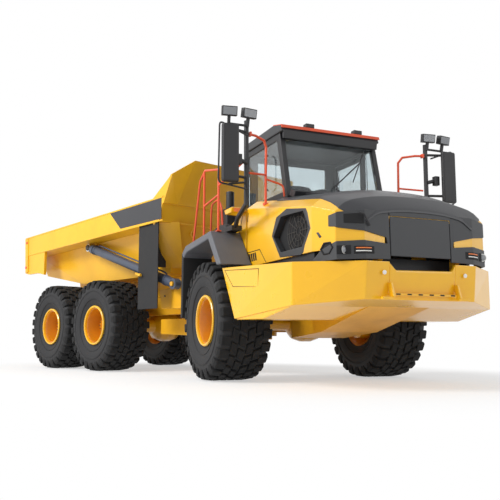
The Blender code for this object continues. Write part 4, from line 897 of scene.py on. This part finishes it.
def make_hood_sides():
    """Seams, the fan opening's frame, guard and mesh, the side lamp and the vents."""
    refined("hood", "Yellow paint", 0.022, 3)
    for name, side in SIDES:
        loops = []
        for (y, z), (inner_y, inner_z) in zip(FAN_OUTLINE, FAN_CUT):
            edge = hood_side_x(y)
            deep = HOOD_HALF - 0.075
            loops.append([(side * (edge - 0.012), y, z), (side * (edge + 0.008), y, z),
                          (side * (HOOD_HALF + 0.008), inner_y, inner_z), (side * deep, inner_y, inner_z)])
        work = bmesh.new()
        add_loft(work, loops, closed=True)
        piece(f"fan_frame_{name}", work, "Panel charcoal", "hood", FRONT, bevel=0.006)
        # A dark plate inside the fan opening: painted shade for the unlit space behind the guard.
        work = bmesh.new()
        add_prism(work, FAN_CUT, side * (HOOD_HALF - 0.085), side * (HOOD_HALF - 0.08))
        piece(f"fan_mesh_back_{name}", work, "Dark void", "hood", FRONT)
        wire = bmesh.new()
        add_tube(wire, [(0, 0.05, 0), (0, 0.30, 0)], 0.005, 6)
        spokes = repeated(wire, "Black plastic", 12, turn=(math.pi / 6, 0, 0))
        rings = bmesh.new()
        for radius in (0.05, 0.12, 0.19, 0.25, 0.30):
            add_lathe(rings,
                      [(-0.004, radius), (0.0, radius + 0.004), (0.004, radius), (0.0, radius - 0.004)], 40)
        ring_mesh = bpy.data.meshes.new("rings")
        rings.to_mesh(ring_mesh)
        rings.free()
        for mesh in (spokes, ring_mesh):
            mesh.transform(Matrix.Translation((side * (HOOD_HALF - 0.065), -3.38, 1.95)))
        mesh_piece(f"fan_guard_{name}", [spokes, ring_mesh], "Cast steel", "hood", FRONT)
        work = bmesh.new()
        lamp = [(-3.98, 1.64), (-4.04, 1.72), (-4.13, 1.72), (-4.175, 1.65), (-4.12, 1.575), (-4.03, 1.57)]
        loops = []
        for depth, grow in ((-0.01, 1.0), (0.016, 0.96), (0.016, 0.80), (0.002, 0.72)):
            ring = []
            for y, z in lamp:
                y = -4.08 + (y + 4.08) * grow
                z = 1.645 + (z - 1.645) * grow
                ring.append((side * (hood_side_x(y) + depth), y, z))
            loops.append(ring)
        add_loft(work, loops)
        piece(f"side_lamp_{name}", work, "Dark void", "hood", FRONT, bevel=0.002)
        work = bmesh.new()
        strip(work, [(-1.93, 2.42), (-1.905, 2.30)], side)
        strip(work, [(-1.905, 1.84), (-2.33, 1.84), (-2.54, 1.64)], side)
        piece(f"hood_seams_{name}", work, "Dark void", "hood", FRONT)
        # The vent slots are dark prisms on the side: painted shade for the openings.
        vent = bmesh.new()
        slot = [(-1.985, 1.70), (-2.03, 1.70), (-1.99, 1.815), (-1.945, 1.815)]
        add_prism(vent, slot, side * (HOOD_HALF - 0.004), side * (HOOD_HALF + 0.003))
        vents = repeated(vent, "Dark void", 4, step=(0, -0.068, 0))
        mesh_piece(f"side_vents_{name}", [vents], "Dark void", "hood", FRONT)


# Bumper ------------------------------------------------------------------------------------------

def bumper_front_y(z):
    """The y of the bumper's leaning front face at a height."""
    return -4.34 - (z - 1.05) * 0.114


def bumper_side_x(y, z):
    """Half width over the bumper's side face, which narrows toward the nose."""
    upper = 1.62 - 0.15 * max(0.0, -1.96 - y) / 1.89
    lower = 1.62 - 0.15 * max(0.0, -2.43 - y) / 1.42
    share = (z - 0.87) / 0.73
    return lower + (upper - lower) * share


def make_bumper_fittings():
    """The bumper's softened skin, side hatches, sensors, tow brackets with their step, and the notch."""
    refined("bumper", "Yellow paint", 0.035, 3)
    refined("front_step", "Black plastic", 0.008)
    work = bmesh.new()
    loops = []
    for x, low, high in ((-0.475, 1.05, 1.485), (-0.38, 1.05, 1.395), (0.42, 1.05, 1.41),
                         (0.475, 1.05, 1.485)):
        front = [(x, bumper_front_y(z) - 0.002, z) for z in (low, high)]
        back = [(x, y + 0.06, z) for x, y, z in reversed(front)]
        loops.append(front + back)
    add_loft(work, loops)
    piece("bumper_front", work, "Yellow paint", "front_unit", FRONT, bevel=0.02)
    work = bmesh.new()
    loops = []
    for y, half, low, high in ((-4.335, 0.78, 1.052, 1.08), (-3.85, 1.46, 0.988, 1.03),
                               (-3.15, 1.53, 0.85, 0.96), (-2.46, 1.60, 0.858, 0.89)):
        loops.append([(-half, y, low), (half, y, low), (half, y, high), (-half, y, high)])
    add_loft(work, loops)
    piece("bumper_pan", work, "Yellow paint", "front_unit", FRONT, bevel=0.012)
    work = bmesh.new()
    add_box(work, (-0.46, 0.46), (-4.31, -4.06), (1.385, 1.41))
    add_box(work, (-0.75, 0.75), (-4.08, -4.05), (1.20, 1.57))
    for side in (-1, 1):
        add_prism(work, [(-2.20, 1.48), (-3.84, 1.42), (-3.84, 1.66), (-2.20, 1.66)], side * 1.10,
                  side * 1.165)
    piece("notch_tread", work, "Black plastic", "front_unit", FRONT, bevel=0.006)
    work = bmesh.new()
    for side in (-1, 1):
        hatch = [(-2.06, 1.555), (-2.34, 1.31), (-3.05, 1.26), (-3.05, 1.49), (-2.06, 1.555)]
        points = [(side * (bumper_side_x(y, z) + 0.001), y, z) for y, z in hatch]
        add_tube(work, points, 0.0045, 6)
    piece("bumper_hatches", work, "Dark void", "front_unit", FRONT)
    work = bmesh.new()
    for side in (-1, 1):
        for x in (0.46, ):
            bracket = [(-4.40, 1.06), (-4.47, 1.08), (-4.42, 1.245), (-4.34, 1.25)]
            add_prism(work, bracket, side * x, side * (x + 0.03))
            add_prism(work, [(-4.40, 1.05), (-4.45, 1.05), (-4.45, 1.08), (-4.40, 1.08)], side * x,
                      side * (x + 0.16))
    add_box(work, (-0.46, 0.46), (-4.42, -4.36), (1.10, 1.125))
    piece("tow_brackets", work, "Yellow paint", "front_unit", FRONT, bevel=0.006)
    # Dark marks on the step's face: painted shade for its slots.
    hole = bmesh.new()
    add_box(hole, (-0.42, -0.36), (-4.4215, -4.40), (1.104, 1.120))
    holes = repeated(hole, "Dark void", 6, step=(0.156, 0, 0))
    mesh_piece("step_slots", [holes], "Dark void", "front_unit", FRONT)
    # The sensors take the white lamp material and glow a little: painted glow, as they are no lamps.
    work = bmesh.new()
    for x in (-0.56, 0.60):
        add_lathe(work, [(0.0, 0.0), (0.0, 0.026), (0.008, 0.024), (0.012, 0.0)], 24, closed=False)
        turn = Matrix.Translation((x, -4.402, 1.36)) @ Matrix.Rotation(math.radians(-90), 4, "Z")
        place_mesh(work, turn, len(work.verts) - 24 * 4)
    piece("bumper_sensors", work, "White lamp", "front_unit", FRONT, smooth=True)


# Cab ---------------------------------------------------------------------------------------------

def make_cab_fittings():
    """Softened shell, seals, the visor, the roof's orange edge, roof lamps, wiper and door handle."""
    refined("cab_shell", "Black plastic", 0.012)
    refined("cab_roof", "Panel charcoal", 0.02, 3)
    refined("cab_door", "Black plastic", 0.006)
    work = bmesh.new()
    edge = [(-2.312, 3.652), (-2.30, 3.70), (-2.02, 3.765), (-2.02, 3.752), (-2.285, 3.690),
            (-2.295, 3.652)]
    add_prism(work, edge, -0.84, 0.84)
    piece("roof_edge", work, "Rail orange", "front_unit", FRONT, bevel=0.004)
    work = bmesh.new()
    visor = [(-2.235, 3.61), (-2.26, 3.50), (-2.285, 3.50), (-2.305, 3.62)]
    add_prism(work, visor, -0.80, 0.80)
    for x in (-0.33, 0.50):
        add_box(work, (x - 0.07, x + 0.07), (-2.24, -2.14), (3.725, 3.785))
    piece("visor", work, "Black plastic", "front_unit", FRONT, bevel=0.006)
    work = bmesh.new()
    add_tube(work, rounded([(0.05, -2.475, 2.72), (-0.05, -2.43, 2.80), (0.42, -2.375, 3.22)], 0.04),
             0.010, 8)
    add_tube(work, [(0.30, -2.385, 2.92), (0.52, -2.350, 3.42)], 0.008, 6)
    piece("wiper", work, "Black plastic", "front_unit", FRONT, smooth=True)
    work = bmesh.new()
    for x, y, name in ((-0.845, -1.85, "right"), (0.845, -1.85, "left")):
        add_tube(work,
                 rounded([(x, y, 2.80), (x + math.copysign(0.05, x), y, 2.84),
                          (x + math.copysign(0.05, x), y, 3.30),
                                (x, y, 3.34)], 0.03), 0.012, 8)
    piece("cab_grab_bars", work, "Black plastic", "front_unit", FRONT, smooth=True)
    work = bmesh.new()
    add_prism(work, [(-1.98, 2.702), (-2.295, 2.702), (-2.105, 3.498), (-1.98, 3.498)], 0.79, 0.802)
    piece("quarter_glass", work, "Tinted glass", "front_unit", FRONT)
    work = bmesh.new()
    add_box(work, (0.82, 0.85), (-1.86, -1.70), (2.48, 2.53))
    piece("door_handle", work, "Black plastic", "cab_door", FRONT, bevel=0.006)


def make_seat():
    """A crowned cushion and backrest on a sprung base, with piping."""
    def pad(name, low, high, lean):
        work = bmesh.new()
        add_box(work, (low[0], high[0]), (low[1], high[1]), (low[2], high[2]))
        bmesh.ops.subdivide_edges(work, edges=work.edges, cuts=5, use_grid_fill=True)
        middle = (Vector(low) + Vector(high)) / 2
        half = (Vector(high) - Vector(low)) / 2
        for vert in work.verts:
            share = [(vert.co[k] - middle[k]) / half[k] for k in range(3)]
            crown = 1 - 0.16 * (share[0] ** 2 + share[1] ** 2 + share[2] ** 2) / 3
            vert.co = middle + Vector([share[k] * half[k] * crown for k in range(3)])
            vert.co.y += lean * (vert.co.z - low[2])
        item = piece(name, work, "Upholstery", "front_unit", FRONT, smooth=True)
        rounder = item.modifiers.new("Round", "SUBSURF")
        rounder.levels = 1
        rounder.render_levels = 1
        return item
    cushion = pad("seat_cushion", (-0.25, -1.76, 2.28), (0.25, -1.28, 2.44), 0.0)
    back = pad("seat_back", (-0.24, -1.36, 2.42), (0.24, -1.22, 3.10), 0.16)
    work = bmesh.new()
    add_box(work, (-0.18, 0.18), (-1.68, -1.34), (1.56, 2.28))
    piece("seat_base", work, "Black plastic", "front_unit", FRONT, bevel=0.02, replaces=("seat",))


# Posts, mirrors and rails ------------------------------------------------------------------------

def make_mirrors():
    """Rounded mirror housings with bright faces, and two work lights on each post."""
    for name, side in SIDES:
        refined(f"mirror_{name}", "Black plastic", 0.03, 3)
        work = bmesh.new()
        add_box(work, (side * 1.70, side * 1.90), (-2.679, -2.676), (2.70, 3.42))
        piece(f"mirror_glass_{name}", work, "Bright steel", "front_unit", FRONT)
        work = bmesh.new()
        lens = bmesh.new()
        for x, y, z, turn in ((1.50, -2.62, 3.60, -8), (1.78, -2.62, 3.60, 10)):
            start = len(work.verts)
            add_box(work, (-0.105, 0.105), (-0.05, 0.03), (0.0, 0.13))
            add_box(work, (-0.02, 0.02), (-0.02, 0.02), (-0.12, 0.02))
            fin = [(-0.03, 0.012), (0.05, 0.012), (0.05, 0.118), (-0.03, 0.118)]
            for k in range(5):
                add_prism(work, fin, -0.09 + 0.043 * k, -0.082 + 0.043 * k)
            place = Matrix.Translation((side * x, y,
                                        z)) @ Matrix.Rotation(math.radians(side * turn), 4, "Z")
            place = place @ Matrix.Rotation(math.radians(12), 4, "X")
            place_mesh(work, place, start)
            start = len(lens.verts)
            add_box(lens, (-0.092, 0.092), (-0.056, -0.048), (0.014, 0.116))
            place_mesh(lens, place, start)
        add_tube(work, [(side * 1.50, -2.60, 3.50), (side * 1.80, -2.60, 3.50)], 0.018, 8)
        add_tube(work, [(side * 1.50, -2.585, 2.98), (side * 1.64, -2.60, 3.02)], 0.03, 10)
        add_box(work, (side * 1.60, side * 1.68), (-2.66, -2.58), (2.94, 3.08))
        add_tube(work, rounded([(side * 1.50, -2.56, 2.72), (side * 1.78, -2.62, 2.66)], 0.02), 0.016, 8)
        loop = [(1.52, 3.34), (1.93, 3.50), (1.945, 2.66), (1.52, 2.60)]
        loop = [(side * x, -2.66, z) for x, z in loop]
        add_tube(work, rounded(loop, 0.06), 0.013, 8)
        piece(f"work_lights_{name}", work, "Black plastic", "front_unit", FRONT, bevel=0.005)
        piece(f"work_light_lenses_{name}", lens, "Clear lens", "front_unit", FRONT)


def make_rails():
    """Crossbars and the inner rails behind the cab, with flanged feet."""
    work = bmesh.new()
    inner = [(-1.30, -0.60, 2.09), (-1.30, -0.64, 2.78), (-1.30, -0.95, 2.80), (-1.30, -1.10, 2.66),
             (-1.30, -1.16, 2.24)]
    add_tube(work, rounded(inner, 0.12), 0.016, 10)
    add_tube(work, [(-1.56, -1.65, 2.86), (-1.52, -2.52, 3.02)], 0.016, 10)
    for x, y, z in ((-1.56, -0.50, 2.09), (-1.56, -1.02, 2.13), (-1.56, -1.65, 2.17)):
        add_box(work, (x - 0.035, x + 0.035), (y - 0.035, y + 0.035), (z, z + 0.014))
    piece("rear_inner_rail", work, "Rail orange", "front_unit", FRONT, smooth=True)
    for name, side in SIDES:
        work = bmesh.new()
        add_tube(work, [(side * 1.122, -2.37, 2.90), (side * 1.455, -2.54, 2.86)], 0.014, 10)
        low = [(side * 0.86, -2.43, 2.60), (side * 0.88, -2.43, 2.76), (side * 1.12, -2.37, 2.84)]
        add_tube(work, rounded(low, 0.05), 0.014, 10)
        foot = (side * 1.12, -2.36)
        add_box(work, (foot[0] - 0.03, foot[0] + 0.03), (foot[1] - 0.03, foot[1] + 0.03), (2.468, 2.50))
        add_box(work, (side * 1.430, side * 1.458), (-2.59, -2.53), (3.37, 3.43))
        piece(f"rail_crossbar_{name}", work, "Rail orange", "hood", FRONT, smooth=True)


def make_fender_fittings():
    """Softened fenders and decks, the liner, the post's base lamp and the air intake."""
    for name, side in SIDES:
        refined(f"fender_{name}", "Fender plastic", 0.02, 3)
        refined(f"deck_{name}", "Yellow paint", 0.012)
        work = bmesh.new()
        add_prism(work, [(-1.88, 2.42), (-1.66, 2.42), (-1.60, 2.50), (-1.92, 2.50)], side * 1.24,
                  side * 1.46)
        piece(f"post_foot_{name}", work, "Yellow paint", "front_unit", FRONT, bevel=0.015)
        work = bmesh.new()
        add_box(work, (side * 1.28, side * 1.42), (-1.92, -1.906), (2.435, 2.485))
        piece(f"marker_lamp_{name}", work, "Amber lamp", "front_unit", FRONT, bevel=0.003)
        work = bmesh.new()
        leg = [(-0.325, 0.945), (-0.352, 1.99), (-0.437, 1.90), (-0.406, 0.945)]
        add_prism(work, leg, side * 1.209, side * 1.704)
        piece(f"fender_flap_{name}", work, "Flap rubber and painted shade", "front_unit", FRONT, bevel=0.01)
        work = bmesh.new()
        seam = [(-1.74, 2.41), (-1.61, 2.14), (-1.75, 1.94)]
        add_tube(work, [(side * 1.2125, y, z) for y, z in seam], 0.005, 6)
        piece(f"deck_seam_{name}", work, "Dark void", "front_unit", FRONT)
        work = bmesh.new()
        hump = [(-0.60, 2.10), (-0.72, 2.28), (-1.10, 2.36), (-1.38, 2.34), (-1.50, 2.17)]
        if side > 0:
            # The door swings over the left deck, so its duct stays below the door.
            hump = [(y, min(z, 2.20)) for y, z in hump]
        add_prism(work, hump, side * 1.24, side * 1.36)
        piece(f"deck_edge_{name}", work, "Black plastic", "front_unit", FRONT, bevel=0.03)
    refined("exhaust_stack", "Black plastic", 0.02)


# Studio ------------------------------------------------------------------------------------------

def make_camera(scene):
    """The camera near the ground off the right front corner."""
    data = bpy.data.cameras.new("Camera")
    data.lens = CAMERA_LENS
    data.sensor_width = 36.0
    camera = link_object("Camera", data)
    camera.location = CAMERA_PLACE + PIN
    camera.rotation_euler = (math.radians(90) + CAMERA_PITCH, 0.0, -CAMERA_YAW)
    scene.camera = camera


def show_white(tree, shader, surface, kind, mask=None):
    """Plain white to camera, mirror and glass rays where the mask allows, the shader to all others."""
    path = tree.nodes.new("ShaderNodeLightPath")
    seen = path.outputs["Is Camera Ray"]
    for name in ("Is Glossy Ray", "Is Transmission Ray"):
        more = tree.nodes.new("ShaderNodeMath")
        more.operation = "MAXIMUM"
        tree.links.new(seen, more.inputs[0])
        tree.links.new(path.outputs[name], more.inputs[1])
        seen = more.outputs[0]
    white = tree.nodes.new(kind)
    white.inputs["Color"].default_value = (1.0, 1.0, 1.0, 1.0)
    if mask is not None:
        masked = tree.nodes.new("ShaderNodeMath")
        masked.operation = "MULTIPLY"
        tree.links.new(seen, masked.inputs[0])
        tree.links.new(mask, masked.inputs[1])
        seen = masked.outputs[0]
    mix = tree.nodes.new("ShaderNodeMixShader")
    tree.links.new(seen, mix.inputs[0])
    tree.links.new(shader, mix.inputs[1])
    tree.links.new(white.outputs[0], mix.inputs[2])
    tree.links.new(mix.outputs[0], surface)


def make_floor(shade):
    """A wide pale floor that keeps the truck's shadow."""
    mesh = bpy.data.meshes.new("Floor")
    work = bmesh.new()
    bmesh.ops.create_grid(work, x_segments=1, y_segments=1, size=90.0)
    work.to_mesh(mesh)
    work.free()
    floor = link_object("Floor", mesh)
    material = bpy.data.materials.new("Floor")
    material.use_nodes = True
    shader = material.node_tree.nodes["Principled BSDF"]
    shader.inputs["Base Color"].default_value = (shade, shade, shade, 1.0)
    shader.inputs["Roughness"].default_value = 0.9
    mesh.materials.append(material)
    tree = material.node_tree
    place = tree.nodes.new("ShaderNodeTexCoord")
    distance = tree.nodes.new("ShaderNodeVectorMath")
    distance.operation = "LENGTH"
    fade = tree.nodes.new("ShaderNodeMapRange")
    fade.interpolation_type = "SMOOTHSTEP"
    fade.inputs["From Min"].default_value = FLOOR_NEAR
    fade.inputs["From Max"].default_value = FLOOR_FAR
    fade.inputs["To Min"].default_value = FLOOR_LIFT
    stretch = tree.nodes.new("ShaderNodeMapping")
    stretch.inputs["Scale"].default_value = (FLOOR_STRETCH, 1.0, 1.0)
    tree.links.new(place.outputs["Object"], stretch.inputs["Vector"])
    tree.links.new(stretch.outputs["Vector"], distance.inputs[0])
    tree.links.new(distance.outputs["Value"], fade.inputs["Value"])
    surface = tree.nodes["Material Output"].inputs["Surface"]
    show_white(tree, shader.outputs[0], surface, "ShaderNodeEmission", fade.outputs["Result"])


def make_world(scene):
    """A white surround of moderate strength."""
    world = bpy.data.worlds.new("World")
    scene.world = world
    world.use_nodes = True
    tree = world.node_tree
    light = tree.nodes["Background"]
    light.inputs["Color"].default_value = (1.0, 1.0, 1.0, 1.0)
    light.inputs["Strength"].default_value = 0.52
    show_white(tree, light.outputs[0], tree.nodes["World Output"].inputs["Surface"], "ShaderNodeBackground")


def make_lamps():
    """A large soft key from the right and above, and a lower fill from the front."""
    for name, place, size, energy in (("Key", (-14.0, 2.5, 11.0), 7.0, 2350.0),
                                      ("Fill", (2.0, -14.0, 5.0), 6.0, 150.0)):
        data = bpy.data.lights.new(name, "AREA")
        data.shape = "DISK"
        data.size = size
        data.energy = energy
        lamp = link_object(name, data)
        lamp.location = place
        lamp.rotation_euler = (Vector((0.0, 0.0, 1.0)) - lamp.location).to_track_quat("-Z", "Y").to_euler()


# Operators ---------------------------------------------------------------------------------------

class TruckSettings(bpy.types.PropertyGroup):
    """Sizes and colours that a user would change."""
    floor_shade: bpy.props.FloatProperty(
        name="Floor shade", description="Brightness of the studio floor", default=0.95, min=0.0, max=1.0)
    yellow: bpy.props.FloatVectorProperty(
        name="Yellow", description="Colour of the hood and bumper", subtype="COLOR",
                                          default=FINISHES["Yellow paint"][0])


def step_operator(label, words, run):
    """An Operator class that makes one group of pieces."""
    def execute(self, context):
        run(context)
        return {"FINISHED"}
    name = label.lower().replace(" ", "_")
    facts = {"__doc__": words, "bl_idname": f"truck.{name}", "bl_label": label, "execute": execute}
    return type(f"TRUCK_OT_{name}", (bpy.types.Operator,), facts)


def run_finishes(context):
    group = wear_group()
    FINISHES["Yellow paint"] = (tuple(context.scene.truck_settings.yellow), *FINISHES["Yellow paint"][1:])
    for name in FINISHES:
        make_finish(name, group)
    make_clear("Tinted glass", (0.76, 0.83, 0.85), 0.96, 0.01, 0.05)
    make_clear("Clear lens", (0.42, 0.44, 0.47), 0.35, 0.04, 0.12)
    # The light bars' own white lamp colour; on the bumper sensors, which are no lamps, its glow is painted
    # glow.
    make_clear("White lamp", (0.80, 0.80, 0.78), 0.0, 0.2, 0.4, 0.05)
    make_clear("Amber lamp", (0.80, 0.20, 0.04), 0.0, 0.2, 0.4, 0.08)
    # This red glows on the corner reflectors, which are no lamps: painted glow.
    make_clear("Red lamp", (0.75, 0.02, 0.01), 0.0, 0.2, 0.4, 0.1)
    for node in NODES.values():
        for slot in node.material_slots:
            slot.material = MATERIALS[SLOT_FINISH[slot.material.name.split(".")[0]]]


def run_wheels(context):
    for axle, unit, y in WHEELS:
        for name, side in SIDES:
            make_tyre(f"{axle}_{name}", side, unit, y)
            make_rim(f"{axle}_{name}", side, unit, y)


def run_body(context):
    make_body_fittings()
    make_hoist_fittings()
    make_frame_fittings()


def run_hood(context):
    make_hood_top()
    make_hood_sides()
    make_nose()


def run_front(context):
    make_bumper_fittings()
    make_fender_fittings()


def run_cab(context):
    make_cab_fittings()
    make_seat()


def run_rails(context):
    make_mirrors()
    make_rails()


def run_studio(context):
    make_camera(context.scene)
    make_floor(context.scene.truck_settings.floor_shade)
    make_world(context.scene)
    make_lamps()
    context.scene.view_settings.view_transform = "Standard"


STEPS = (
    step_operator("Finishes", "Gives every CAD piece its finish", run_finishes),
    step_operator("Wheels", "Makes the tyres and rims", run_wheels),
    step_operator("Dump body", "Makes the body's, hoist's and frame's fittings", run_body),
    step_operator("Hood", "Makes the hood's top, sides and nose", run_hood),
    step_operator("Front", "Makes the bumper's and fenders' fittings", run_front),
    step_operator("Cab", "Makes the cab's fittings and seat", run_cab),
    step_operator("Rails", "Makes the mirrors, lights and rails", run_rails),
    step_operator("Studio", "Makes the floor, lamps, world and camera", run_studio),
)


class TRUCK_PT_panel(bpy.types.Panel):
    """Lists the truck's settings and steps"""
    bl_idname = "TRUCK_PT_panel"
    bl_label = "Truck"
    bl_space_type = "VIEW_3D"
    bl_region_type = "UI"
    bl_category = "Truck"

    def draw(self, context):
        self.layout.prop(context.scene.truck_settings, "floor_shade")
        self.layout.prop(context.scene.truck_settings, "yellow")
        for step in STEPS:
            self.layout.operator(step.bl_idname)


CLASSES = (TruckSettings, *STEPS, TRUCK_PT_panel)


def register():
    for cls in CLASSES:
        bpy.utils.register_class(cls)
    bpy.types.Scene.truck_settings = bpy.props.PointerProperty(type=TruckSettings)


def unregister():
    del bpy.types.Scene.truck_settings
    for cls in reversed(CLASSES):
        bpy.utils.unregister_class(cls)


def main():
    register()
    for step in STEPS:
        getattr(bpy.ops.truck, step.bl_idname.split(".")[1])()


if __name__ == "__main__":
    main()
